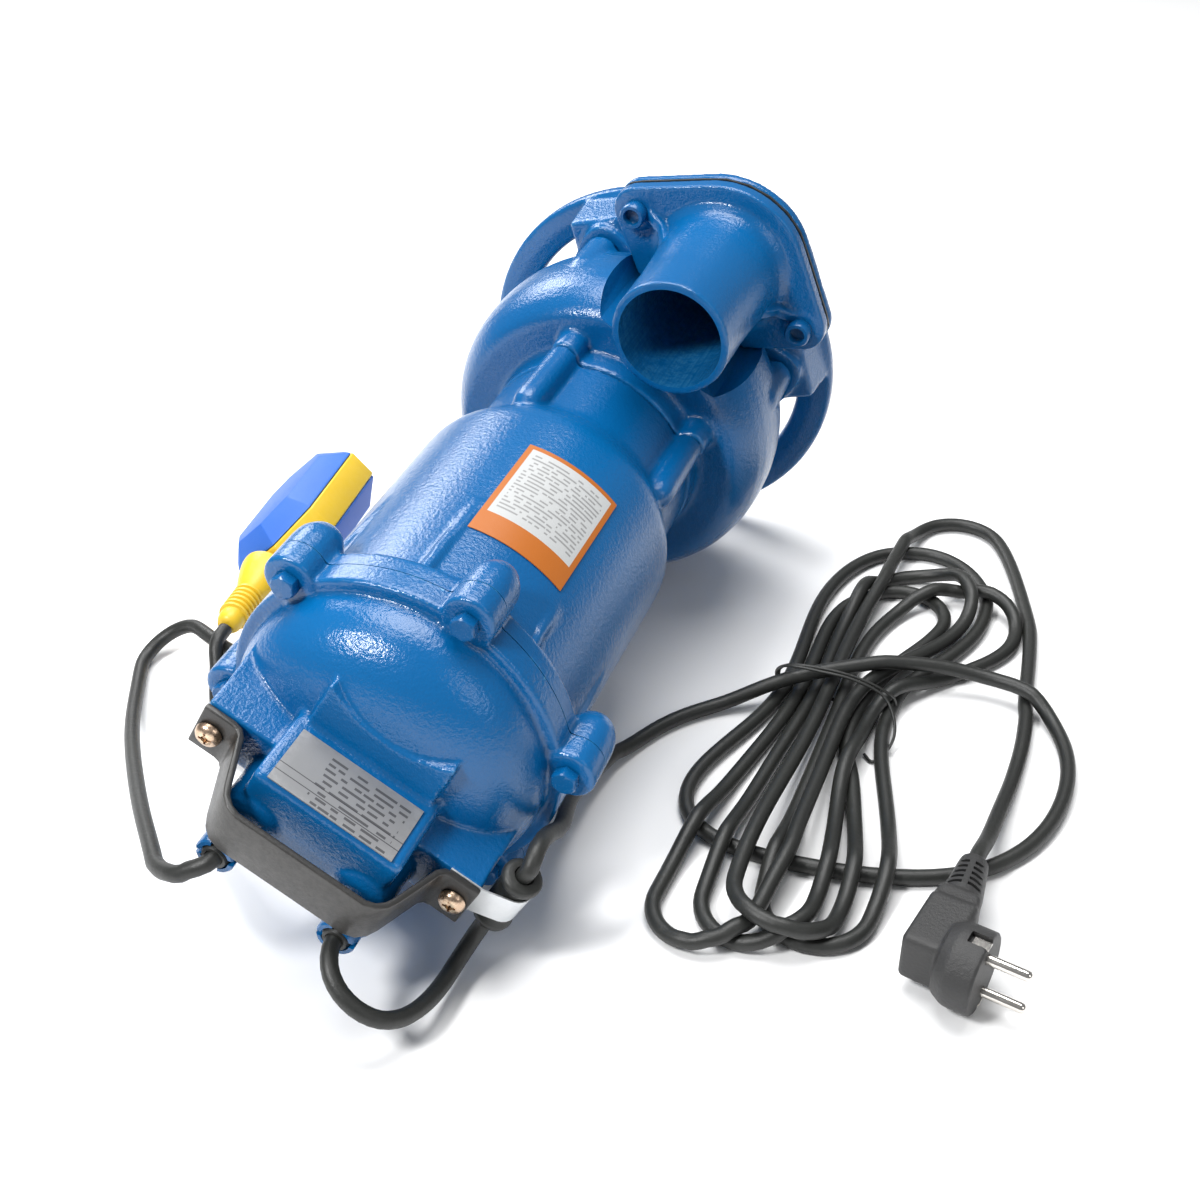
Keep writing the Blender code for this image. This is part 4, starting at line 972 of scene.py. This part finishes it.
@dataclass
class Fittings:
    """The small things on the cap: bolts, handle, screws, cable clip, glands, nameplate and sticker."""

    foot: float = 407.3
    sleeve: Point2 = (78.5, 394.0)
    glands: Point2 = (29.5, -22.5)
    gland_base: float = 433.0

    def bolts(self) -> None:
        """Builds the six bolts of the cap, each on its washer."""
        for number in range(6):
            at = polar(82, 60 * number)
            bolt = hex_bolt(f"cap_hex_{number + 1}", at, 353.85, 359.2)
            dress(bolt, Paint.BOLT, "pump", f"cap_bolt_{number + 1}")

    def handle(self) -> None:
        """Builds the strap handle and its two cross-head screws."""
        strap = copied("handle", "handle_strap", 0.7, 3, 50)
        dress(strap, Paint.HANDLE, "pump", "handle")
        for side, node in ((-1, "handle_screw_left"), (1, "handle_screw_right")):
            base = self.foot + 1.8
            head = Solid.turned([
                (0, base), (5.8, base), (6, base + 0.5), (5.7, base + 1.9), (4.8, base + 3.1), (3, base + 3.9), (0, base + 4.2),
            ], 48).moved(side * 60.3, 0, 0)
            screw = put(f"pan_screw_{side + 2}", [head], PUMP)
            slots = []
            for turn in (20, 110):
                tool = Solid.block((-3, 3), (-0.55, 0.55), (base + 2.2, base + 6)).bevelled(0.2, 1)
                slots.append(tool.spun(turn).moved(side * 60.3, 0, 0))
            slots.append(Solid.turned([(0, base + 1.4), (1.6, base + 2.6), (1.9, base + 6), (0, base + 6)], 24).moved(side * 60.3, 0, 0))
            cut(screw, slots, PUMP)
            dress(smooth(screw, 32), Paint.ZINC, "pump", node)

    def clip(self) -> None:
        """Builds the cable clip and the rubber sleeve in it."""
        dress(copied("cable_clip", "clip_strip", 0.15, 1, 60), Paint.CLIP, "pump", "cable_clip")
        x, z = self.sleeve
        rubber = Solid.turned([
            (4.1, -20.5), (4.5, -21), (6.6, -21), (8.2, -20.6), (9, -19.4), (9.1, -18), (8.6, -16.4), (7.4, -15.4), (7.1, -14), (7.1, 6.6),
            (7.5, 8), (8.7, 9), (9.1, 10.4), (8.8, 12), (7.8, 12.9), (4.5, 13), (4.1, 12.5),
        ], 64)
        rubber.placed(Matrix.Translation((x, 0, z)) @ Matrix.Rotation(math.radians(90), 4, "X"))
        dress(smooth(put("sleeve_rubber", [rubber], PUMP), 50), Paint.RUBBER, "pump", "clip_sleeve")

    def gland(self) -> None:
        """Builds the two gland nuts and their seals."""
        low = self.gland_base + 0.3
        for side, name in ((-1, "float"), (1, "mains")):
            at = (side * self.glands[0], self.glands[1], 0)
            nut = Solid.turned([(6.5, low), (8.4, low), (8.8, low + 0.5), (8.8, low + 7.4), (8.2, low + 8.2), (6.5, low + 8.2)], 48).moved(*at)
            made = put(f"gland_cap_{name}", [nut], PUMP)
            slots = [Solid.block((-12, 12), (-1.4, 1.4), (low + 5, low + 12)).spun(turn).moved(*at) for turn in (20, 110)]
            cut(made, slots, PUMP)
            dress(smooth(made, 35), Paint.BOLT, "pump", f"gland_nut_{name}")
            seal = Solid.turned([(4.1, low), (6.2, low), (6.2, low + 7), (5.4, low + 8.9), (4.1, low + 8.9)], 40).moved(*at)
            dress(smooth(put(f"gland_rubber_{name}", [seal], PUMP), 45), Paint.RUBBER, "pump", f"gland_seal_{name}")

    def plates(self) -> None:
        """Builds the nameplate and the sticker, each with its own UV map for its print."""

        def flat(u: float, v: float) -> Vector:
            """Returns a point of the nameplate."""
            return Vector((29.5 - 59 * u, 22.35, 427 - 29.4 * v))

        def round_casing(u: float, v: float) -> Vector:
            """Returns a point of the sticker."""
            x, y = polar(69.72, -20.6 + 41.2 * u)
            return Vector((x, y, 219.7 + 69.9 * v))

        for name, spot, cols, rows, thick, paint, node in (
            ("maker_plate", flat, 12, 8, 0.5, Paint.NAMEPLATE, "nameplate"),
            ("blank_label", round_casing, 32, 24, 0.35, Paint.STICKER, "sticker"),
        ):
            mesh = bmesh.new()
            uv = mesh.loops.layers.uv.new("UVMap")
            bmesh.ops.create_grid(mesh, x_segments=cols, y_segments=rows, size=0.5)
            for face in mesh.faces:
                for loop in face.loops:
                    loop[uv].uv = (loop.vert.co.x + 0.5, loop.vert.co.y + 0.5)
            for vert in mesh.verts:
                vert.co = spot(vert.co.x + 0.5, vert.co.y + 0.5)
            bmesh.ops.recalc_face_normals(mesh, faces=mesh.faces)
            outward = Vector((0, 1, 0))
            if sum((face.normal.dot(outward) for face in mesh.faces), 0.0) < 0:
                bmesh.ops.reverse_faces(mesh, faces=mesh.faces)
            bmesh.ops.solidify(mesh, geom=mesh.faces[:], thickness=-thick)
            bmesh.ops.recalc_face_normals(mesh, faces=mesh.faces)
            dress(smooth(put(name, [Solid(mesh)], PUMP), 30), paint, "pump", node)


@dataclass
class FloatSwitch:
    """The float: two blue shells, the yellow band between them, and a ribbed boot."""

    end: Point3 = (-155.0, -244.0, 0.0)
    yaw: float = 7.0
    lean: float = 43.9
    half: float = 35.0
    boot: float = 46.0

    def place(self) -> Matrix:
        """Returns the matrix from the float's frame to the scene."""
        lean = math.radians(self.lean)
        height = self.half * math.sin(lean) + 8.5 * math.cos(lean) + 0.3
        turn = Matrix.Rotation(math.radians(90 + self.yaw), 4, "Z") @ Matrix.Rotation(-lean, 4, "X")
        return FLOOR @ Matrix.Translation((self.end[0], self.end[1], height)) @ turn

    def build(self) -> None:
        """Builds and dresses the float."""
        dress(copied("float_shell_upper", "shell_top", 1.6, 3, 20), Paint.FLOAT_BLUE, "float", "float_shell_upper")
        dress(copied("float_shell_lower", "shell_under", 1.6, 3, 20), Paint.FLOAT_BLUE, "float", "float_shell_lower")
        dress(copied("float_band", "band_yellow", 0.9, 2, 20), Paint.FLOAT_YELLOW, "float", "float_band")
        profile: list[Point2] = [(0, -6.8), (3.4, -6.6), (5.4, -5.4), (6.5, -3), (6.8, 0)]
        for rib in range(6):
            start = 2.5 + 3.6 * rib
            profile += [(7.0, start), (8.3, start + 0.5), (8.4, start + 1.9), (7.1, start + 2.4)]
        profile += [(7.8, 24), (9, 27), (10.8, 32), (12.6, 38), (13.8, 43), (14, self.boot + 0.5), (0, self.boot + 0.5)]
        nose = Solid.turned(profile, 56).spun(90, "Y")
        boot = put("boot_yellow", [nose], self.place())
        dress(smooth(boot, 35), Paint.FLOAT_YELLOW, "float", "float_boot")
        repaint(Paint.GREY, "float_microswitch")
        repaint(Paint.STEEL, "float_ball")


# ---- cables ----------------------------------------------------------------------------------------

FLOAT_ROUTE: list[Point3] = [
    (-48, -448, 68), (-62, -443, 62), (-79, -427, 55), (-98, -407, 46), (-122, -379, 34), (-146, -350, 23),
    (-169, -320, 13), (-189, -287, 6), (-200, -266, 4.2), (-205, -250, 6), (-199, -240, 11), (-187, -240, 17),
    (-172, -248, 23), (-155, -260, 28), (-138, -273, 31), (-117, -281, 28), (-97, -279, 20), (-79, -284, 12),
    (-70, -297, 6), (-78, -313, 4.2), (-99, -320, 4.2), (-121, -311, 6), (-138, -293, 11), (-148, -272, 19),
]
MAINS_LOOP: list[Point3] = [
    (30.8, -22.5, 448), (35.5, -22.8, 455), (43.5, -23.5, 459.8), (53.5, -24.5, 461), (62.5, -26, 458), (69.5, -28, 451),
    (74, -30.5, 441.5), (76.8, -33, 431), (78.2, -34.5, 421), (78.6, -33.5, 411.5), (78.6, -29, 403), (78.5, -22.5, 396.9),
]
LEAD_ROUTE: list[Point3] = [
    (81, -386, 67.5), (80, -377, 66), (78, -365, 59), (76, -350, 48.5), (73, -337, 41.5), (69, -324, 35.5),
    (65, -309, 29), (63, -292, 22), (62, -270, 14), (64.5, -243, 7.5), (70, -221, 4.3), (79, -206, 4.2),
    (89, -193, 5), (98, -186, 9), (107, -181, 17), (115, -177, 27.5), (127, -170, 30), (145, -159, 30),
    (166, -143, 30), (186, -133, 30), (205, -125, 29), (221, -121, 23), (237, -121.5, 18), (252, -127, 13),
    (265, -139, 6.5), (275, -158, 4.2), (279, -185, 4.2), (276, -217, 4.2), (267, -244, 4.2),
    (254, -262, 4.2), (236, -274, 4.2), (220, -279, 4.2),
]
HANK_ROUTE: list[Point3] = [
    (200, -283, 4.2), (178, -287, 4.2), (156, -290, 4.2), (136, -290, 4.2), (117, -286, 4.2), (104, -273, 4.2),
    (100, -254, 4.2), (105, -232, 4.2), (114, -210, 4.2), (124, -186, 4.2), (130, -160, 4.2), (128, -130, 4.2),
    (123, -100, 4.2), (122, -70, 4.2), (128, -38, 4.2), (144, -11, 4.2), (168, 0, 4.2), (191, -8, 4.2),
    (208, -27, 4.2), (216, -52, 4.2), (214, -80, 4.2), (203, -105, 4.2), (188, -128, 4.2), (179, -148, 4.2),
    (178, -170, 4.2), (184, -195, 4.2), (196, -225, 5), (206, -258, 9), (211, -290, 12.4), (208, -318, 7),
    (196, -338, 4.4), (180, -344, 4.4), (165, -333, 4.6), (158, -312, 8), (157, -287, 12.4), (158, -255, 8),
    (158, -220, 4.4), (158, -190, 4.2), (158, -160, 5), (155, -130, 9), (156, -100, 12.4), (165, -68, 12.4),
    (184, -46, 12.4), (208, -38, 12.4), (229, -48, 12.4), (238, -70, 11), (230, -95, 10), (211, -115, 12.4),
    (192, -134, 12.4), (177, -150, 12.4), (170, -170, 12.4), (171, -200, 12.4), (176, -240, 15), (183, -285, 20.6),
    (185, -312, 17), (179, -338, 13), (164, -353, 12.4), (147, -350, 12.4), (136, -333, 13), (133, -308, 18),
    (133, -287, 20.6), (135, -255, 15), (137, -220, 12.4), (140, -190, 12.4), (142, -160, 12.4), (140, -130, 12.4),
    (138, -100, 12.4), (142, -65, 12.4), (155, -36, 12.4), (177, -24, 16), (199, -34, 20.6), (209, -56, 20.6),
    (206, -80, 17), (194, -102, 17), (178, -125, 20.6), (166, -145, 20.6), (161, -170, 20.6), (162, -200, 20.6),
    (164, -240, 23), (164, -285, 28.8), (163, -318, 23), (157, -345, 20.6), (141, -362, 14), (124, -355, 6),
    (115, -335, 4.4), (114, -308, 8), (116, -287, 12.4), (120, -255, 9), (126, -222, 5), (133, -190, 4.4),
    (138, -160, 4.4), (136, -130, 4.4), (133, -105, 4.4), (137, -76, 4.4), (150, -52, 4.4), (171, -43, 4.4),
    (189, -53, 4.4), (196, -74, 4.4), (190, -97, 4.4), (178, -117, 4.4), (168, -138, 4.4), (166, -165, 4.4),
    (168, -195, 6), (178, -228, 10), (190, -258, 11), (197, -288, 13), (198, -315, 15), (189, -338, 20.6),
    (172, -349, 22), (155, -342, 24), (147, -318, 26), (146, -287, 30), (147, -255, 26), (149, -220, 21),
    (150, -190, 20.6), (150, -160, 20.6), (149, -130, 20.6), (149, -100, 20.6), (151, -72, 20.6), (153, -45, 20.4),
    (155, -20, 15), (157, 2, 12.6), (160, 20, 8),
]
TAIL_ROUTE: list[Point3] = [
    (167, 34, 5), (179, 41, 4.2), (193, 39, 4.2), (205, 27, 4.2), (216, 5, 4.2), (227, -24, 4.2), (235, -53, 4.2),
    (241, -81, 4.2), (246, -112, 4.2), (249, -138, 4.2), (251, -163, 4.2), (251, -192, 4.5), (249.5, -221, 8),
    (248, -249, 13),
]


@dataclass
class Settler:
    """Lets a bundled cable sink on the floor and on itself, with no bend too tight and no two runs in each other."""

    gap: float = 8.1
    step: float = 4.0
    least_bend: float = 30.0
    rounds: int = 320
    drop: float = 0.05
    lowest: float = 4.1

    def spread(self, line: Sequence[Vector]) -> np.ndarray:
        """Returns points a step apart along a line."""
        points = np.array([tuple(point) for point in line])
        along = np.r_[0, np.cumsum(np.linalg.norm(np.diff(points, axis=0), axis=1))]
        marks = np.linspace(0, along[-1], round(along[-1] / self.step) + 1)
        return np.stack([np.interp(marks, along, points[:, axis]) for axis in range(3)], 1)

    def ease(self, points: np.ndarray, free: np.ndarray) -> None:
        """Opens tight bends, then evens the line and its spacing."""
        for reach in (3, 6):
            off = 0.5 * (points[: -2 * reach] + points[2 * reach :]) - points[reach:-reach]
            allowed = (reach * self.step) ** 2 / (2 * self.least_bend)
            push = off * np.clip(1 - allowed / np.maximum(np.linalg.norm(off, axis=1), 1e-9), 0, 1)[:, None]
            points[reach:-reach] += 0.5 * push * free[reach:-reach]
            points[: -2 * reach] -= 0.25 * push * free[: -2 * reach]
            points[2 * reach :] -= 0.25 * push * free[2 * reach :]
        points[1:-1] += 0.35 * (0.25 * (points[:-2] + points[2:]) - 0.5 * points[1:-1]) * free[1:-1]
        for _ in range(2):
            edge = points[1:] - points[:-1]
            length = np.linalg.norm(edge, axis=1)
            move = 0.45 * ((length - self.step) / length)[:, None] * edge
            points[:-1] += move * free[:-1]
            points[1:] -= move * free[1:]

    def part(self, points: np.ndarray, free: np.ndarray) -> None:
        """Moves runs that come too close away from each other."""
        count = len(points)
        index = np.arange(count)
        square = (points * points).sum(1)
        apart = square[:, None] + square[None] - 2 * points @ points.T
        a, b = np.nonzero((apart < self.gap**2) & (index[None] - index[:, None] > 7))
        between = points[a] - points[b]
        distance = np.linalg.norm(between, axis=1) + 1e-6
        shares = np.maximum(free[a, 0] + free[b, 0], 1e-6)
        move = ((self.gap - distance) / distance)[:, None] * between
        total = np.zeros_like(points)
        times = np.zeros(count)
        for which, sign in ((a, 1.0), (b, -1.0)):
            np.add.at(total, which, sign * move * (free[which, 0] / shares)[:, None])
            np.add.at(times, which, 1)
        points += total / (np.maximum(times, 1) ** 0.7)[:, None] * free
        points[:, 2] = np.where(free[:, 0] > 0, np.maximum(points[:, 2], self.lowest), points[:, 2])

    def run(self, line: Sequence[Vector], first: Vector, last: Vector) -> list[Vector]:
        """Settles the part of a line between two of its points.

        Args:
            line: the points of the line, in millimetres.
            first: where the free part starts.
            last: where it ends.

        Returns:
            The settled line.
        """
        points = self.spread(line)
        start = int(np.argmin(np.linalg.norm(points - np.array(tuple(first)), axis=1)))
        stop = int(np.argmin(np.linalg.norm(points - np.array(tuple(last)), axis=1)))
        free = np.zeros((len(points), 1))
        free[start:stop] = 1.0
        for turn in range(self.rounds):
            if turn < 0.7 * self.rounds:
                points[:, 2] -= self.drop * free[:, 0]
            self.ease(points, free)
            for _ in range(2):
                self.part(points, free)
        return [Vector(point) for point in points]


@dataclass
class Cables:
    """The float cable and the mains cable, each one smooth curve, with the tie round the hank."""

    glands: Point2 = (29.5, -22.5)
    start: float = 434.0
    sleeve: Point2 = (78.5, 394.0)

    def tube(self, name: str, route: list[Vector], radius: float = CABLE_RADIUS, spacing: float = 4.0) -> bpy.types.Object:
        """Makes a round cable along a route, which holds millimetres of the scene's frame.

        Args:
            name: the object's name.
            route: its points, in millimetres.
            radius: its radius, in millimetres.
            spacing: how far apart the tube's rings are.

        Returns:
            The curve object.
        """
        curve = bpy.data.curves.new(name, "CURVE")
        curve.dimensions = "3D"
        curve.bevel_depth = radius * MM
        curve.bevel_resolution = 5
        curve.use_fill_caps = True
        line = smooth_curve(route, spacing)
        spline = curve.splines.new("POLY")
        spline.points.add(len(line) - 1)
        for point, spot in zip(spline.points, line):
            point.co = (*(spot * MM), 1.0)
        spline.use_smooth = True
        obj = bpy.data.objects.new(name, curve)
        bpy.context.scene.collection.objects.link(obj)
        return obj

    def length(self, route: list[Vector]) -> float:
        """Returns the length of a route, in metres."""
        line = smooth_curve(route, 4.0)
        return sum((b - a).length for a, b in zip(line, line[1:])) * MM

    def float_route(self) -> list[Vector]:
        """Returns the float cable's points, in millimetres in the scene."""
        found = [PUMP @ Vector((-self.glands[0], self.glands[1], z)) / MM for z in (self.start, self.start + 10)]
        found += [Vector(point) + FLOOR_SHIFT for point in FLOAT_ROUTE]
        switch = FloatSwitch()
        nose = switch.place() @ Vector((0, 0, 0)) / MM
        yaw = math.radians(switch.yaw)
        heading = Vector((math.sin(yaw), -math.cos(yaw), -0.1)).normalized()
        return found + [nose + heading * 19, nose + heading * 7.8]

    def mains_route(self) -> list[Vector]:
        """Returns the mains cable's points, in millimetres in the scene."""
        x, z = self.sleeve
        upright = [(self.glands[0], self.glands[1], self.start), (self.glands[0], self.glands[1], self.start + 8)]
        upright += [*MAINS_LOOP, (x, -13, z), (x, 4, z), (x, 21, z), (x, 26, z)]
        found = [PUMP @ Vector(point) / MM for point in upright]
        found += [Vector(point) + FLOOR_SHIFT for point in [*LEAD_ROUTE, *HANK_ROUTE, *TAIL_ROUTE, (246.3, -267, 18.3), (245.65, -279.5, 19.2), (245.12, -290, 19.2)]]
        return found

    def build(self, plug: list[bpy.types.Object]) -> None:
        """Builds both cables and the tie.

        Args:
            plug: the pieces of the plug on the mains cable's end. It is not used.
        """
        route = self.float_route()
        route = Settler(rounds=150, least_bend=23, drop=0.0).run(smooth_curve(route, 2.0), route[2], route[-3])
        short = self.tube("float_cable_run", route)
        dress(short, Paint.RUBBER, "pump", "float_cable")
        round(self.length(route), 2)
        route = Settler().run(
            smooth_curve(self.mains_route(), 2.0), Vector((64.5, -243, 7.5)) + FLOOR_SHIFT, Vector((249, -138, 4.2)) + FLOOR_SHIFT
        )
        mains = self.tube("mains_cable_run", route)
        dress(mains, Paint.RUBBER, "pump", "mains_lead", "mains_hank", "mains_tail")
        length = round(self.length(route), 2)
        LOG.info("mains cable is %.2f m", length)
        self.tie()

    def tie(self) -> None:
        """Builds the thin wire that is twisted round the hank's waist."""
        ring = [
            (122, -158, 9), (124, -163, 18), (131, -168, 25.5), (148, -168, 27.2), (163, -166, 25), (178, -164, 19.5), (184, -160, 12),
            (184, -157, 4), (176, -157, 0.8), (150, -157, 0.7), (130, -157, 1), (123, -158, 4), (121.5, -160, 9.5), (123, -165, 18.5),
            (130, -171, 26.6), (148, -172, 28.2), (165, -170, 25.8), (180, -170, 20), (187, -176, 14), (190, -184, 8), (188, -193, 3),
            (183, -200, 1.2), (178, -196, 1.6),
        ]
        wire = self.tube("hank_tie_wire", [Vector(point) + FLOOR_SHIFT for point in ring], 0.8, 2.0)
        wire.data.bevel_resolution = 2
        dress(wire, Paint.RUBBER, "pump")


@dataclass
class Plug:
    """The angled plug: a round face with two pins, an angled grip and a ribbed cable sleeve."""

    at: Point3 = (262.5, -339.0, 19.2)
    yaw: float = -11.0
    pitch: float = 19.0

    def place(self) -> Matrix:
        """Returns the matrix from the plug's frame to the scene."""
        return FLOOR @ Matrix.Translation(self.at) @ Matrix.Rotation(math.radians(self.yaw), 4, "Z")

    def build(self) -> list[bpy.types.Object]:
        """Builds the plug and returns its pieces."""
        face = Solid.turned([(0, -19), (12, -19), (15.4, -18), (18.2, -13), (18.6, -11), (18.6, -0.4), (18, 0), (0, 0)], 64).spun(90, "Y")
        grip = Solid.slab([(-35, -12), (-13, -12.5), (-13, 12.5), (-35, 12)], -25, 9).spun(90, "X").bevelled(2.5, 3)
        shoulder = Solid.slab([(-34, 2), (-7, 2), (-12, 18), (-15, 33), (-34, 33), (-35, 20)], -11, 11).bevelled(2.5, 3)
        lean = Matrix.Translation((-23.5, 24, 0)) @ Matrix.Rotation(math.radians(8), 4, "Z")
        neck = Solid.turned([(0, 36.8), (6.6, 36.8), (7.2, 32), (9.2, 14), (9.4, -6), (0, -6)], 48).spun(-90, "X").placed(lean)
        body = fused("plug_housing", [face, grip, shoulder, neck], self.place(), 0.75, 3)
        tools = []
        for side in (-1, 1):
            tools.append(Solid.rod(2.6, -12, 5, steps=24).spun(90, "Y").moved(0, 0, side * self.pitch / 2))
            recess = Solid.block((-9, 3), (-3.4, 3.4), (15.6, 22) if side > 0 else (-22, -15.6))
            tools.append(recess)
            for rib in range(5):
                for wall in (-1, 1):
                    low = 13.5 + 3.9 * rib
                    slot = Solid.block((-11, -1.3) if wall < 0 else (1.3, 11), (low, low + 1.9), (4.9, 12) if side > 0 else (-12, -4.9))
                    tools.append(slot.placed(lean))
        tools.append(Solid.rod(CABLE_RADIUS + 0.3, 19, 60, steps=24).spun(-90, "X").placed(lean))
        cut(body, tools, self.place())
        dress(smooth(body, 35), Paint.PLUG, "pump", "plug_body")
        found = [body]
        for side, node in ((-1, "plug_pin_lower"), (1, "plug_pin_upper")):
            pin = Solid.turned([(0, -11.4), (2.35, -11.4), (2.35, 17), (2.1, 18.2), (1.3, 19.1), (0, 19.4)], 32)
            pin.spun(90, "Y").moved(0, 0, side * self.pitch / 2)
            made = put(f"pin_{node[9:]}", [pin], self.place())
            found.append(dress(smooth(made, 40), Paint.NICKEL, "pump", node))
        for side in (-1, 1):
            strip = Solid.block((-7.5, 0.3), (-2.6, 2.6), (15.9, 16.6) if side > 0 else (-16.6, -15.9)).bevelled(0.2, 1)
            made = put(f"earth_contact_{side + 2}", [strip], self.place())
            found.append(dress(smooth(made, 40), Paint.NICKEL, "pump"))
        return found


# ---- stage -----------------------------------------------------------------------------------------


@dataclass
class Studio:
    """The floor, the lights and the camera."""

    eye: Point3 = (0.33336, -0.62652, 0.54018)
    turn: Point3 = (55.429, -0.058, 21.159)
    lens: float = 50.0

    def light(self, name: str, spot: Point3, aim: Point3, size: float, power: float) -> None:
        """Adds a square soft light that faces a point."""
        data = bpy.data.lights.new(name, "AREA")
        data.shape = "SQUARE"
        data.size = size
        data.energy = power
        lamp = bpy.data.objects.new(name, data)
        lamp.location = spot
        lamp.rotation_euler = (Vector(aim) - Vector(spot)).to_track_quat("-Z", "Y").to_euler()
        bpy.context.scene.collection.objects.link(lamp)

    def build(self) -> None:
        """Builds the stage."""
        data = bpy.data.cameras.new("view")
        data.lens = self.lens
        data.sensor_width = 36.0
        data.clip_start = 0.01
        camera = bpy.data.objects.new("view", data)
        camera.location = self.eye
        camera.rotation_euler = tuple(math.radians(angle) for angle in self.turn)
        bpy.context.scene.collection.objects.link(camera)
        bpy.context.scene.camera = camera
        floor = bmesh.new()
        bmesh.ops.create_grid(floor, x_segments=1, y_segments=1, size=6)
        mesh = bpy.data.meshes.new("floor")
        floor.to_mesh(mesh)
        floor.free()
        sheet = bpy.data.objects.new("floor", mesh)
        bpy.context.scene.collection.objects.link(sheet)
        paper = bpy.data.materials.new("pale_floor")
        paper.use_nodes = True
        shader = paper.node_tree.nodes["Principled BSDF"]
        shader.inputs["Base Color"].default_value = (0.9, 0.9, 0.9, 1.0)
        shader.inputs["Roughness"].default_value = 0.9
        shader.inputs["Specular IOR Level"].default_value = 0.1
        mesh.materials.append(paper)
        world = bpy.data.worlds.new("studio")
        world.use_nodes = True
        world.node_tree.nodes["Background"].inputs[0].default_value = (0.95, 0.97, 1.0, 1.0)
        world.node_tree.nodes["Background"].inputs[1].default_value = 0.26
        bpy.context.scene.world = world
        self.light("key", (-0.42, -0.92, 1.2), (0.03, -0.05, 0.08), 0.3, 20.0)
        self.light("top", (-0.05, 0.45, 1.9), (0.1, 0.1, 0.0), 1.3, 44.0)
        self.light("back", (-1.0, 0.9, 0.9), (0.03, 0.0, 0.08), 0.6, 11.0)
        self.light("side", (1.3, -0.6, 0.9), (0.1, 0.0, 0.05), 0.5, 2.5)
        bpy.context.scene.view_settings.view_transform = "Standard"


@dataclass
class Inside:
    """The parts that the castings hide, which keep the frame's shapes."""

    finishes: dict[Paint, tuple[str, ...]] = field(default_factory=lambda: {
        Paint.STEEL: ("shaft", "shaft_key", "lower_bearing", "upper_bearing", "stator_core", "impeller_nut"),
        Paint.IRON: ("impeller", "oil_chamber_cover", "bearing_bracket", "rotor_core", "seal_head"),
        Paint.COPPER: ("winding_lower", "winding_upper"),
        Paint.GREY: ("capacitor", "seal_seat"),
    })

    def build(self) -> None:
        """Gives each hidden part its finish."""
        for paint, nodes in self.finishes.items():
            repaint(paint, *nodes)


def main() -> None:
    """Builds the scene in order."""
    logging.basicConfig(level=logging.INFO)
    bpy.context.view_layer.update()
    Studio().build()
    Cables().build(Plug().build())
    Casing().build()
    Cap().build()
    Volute().build()
    Discharge().build()
    Base().build()
    fittings = Fittings()
    for step in (fittings.bolts, fittings.handle, fittings.clip, fittings.gland, fittings.plates):
        step()
    FloatSwitch().build()
    Inside().build()


if __name__ == "__main__":
    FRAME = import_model()
    main()
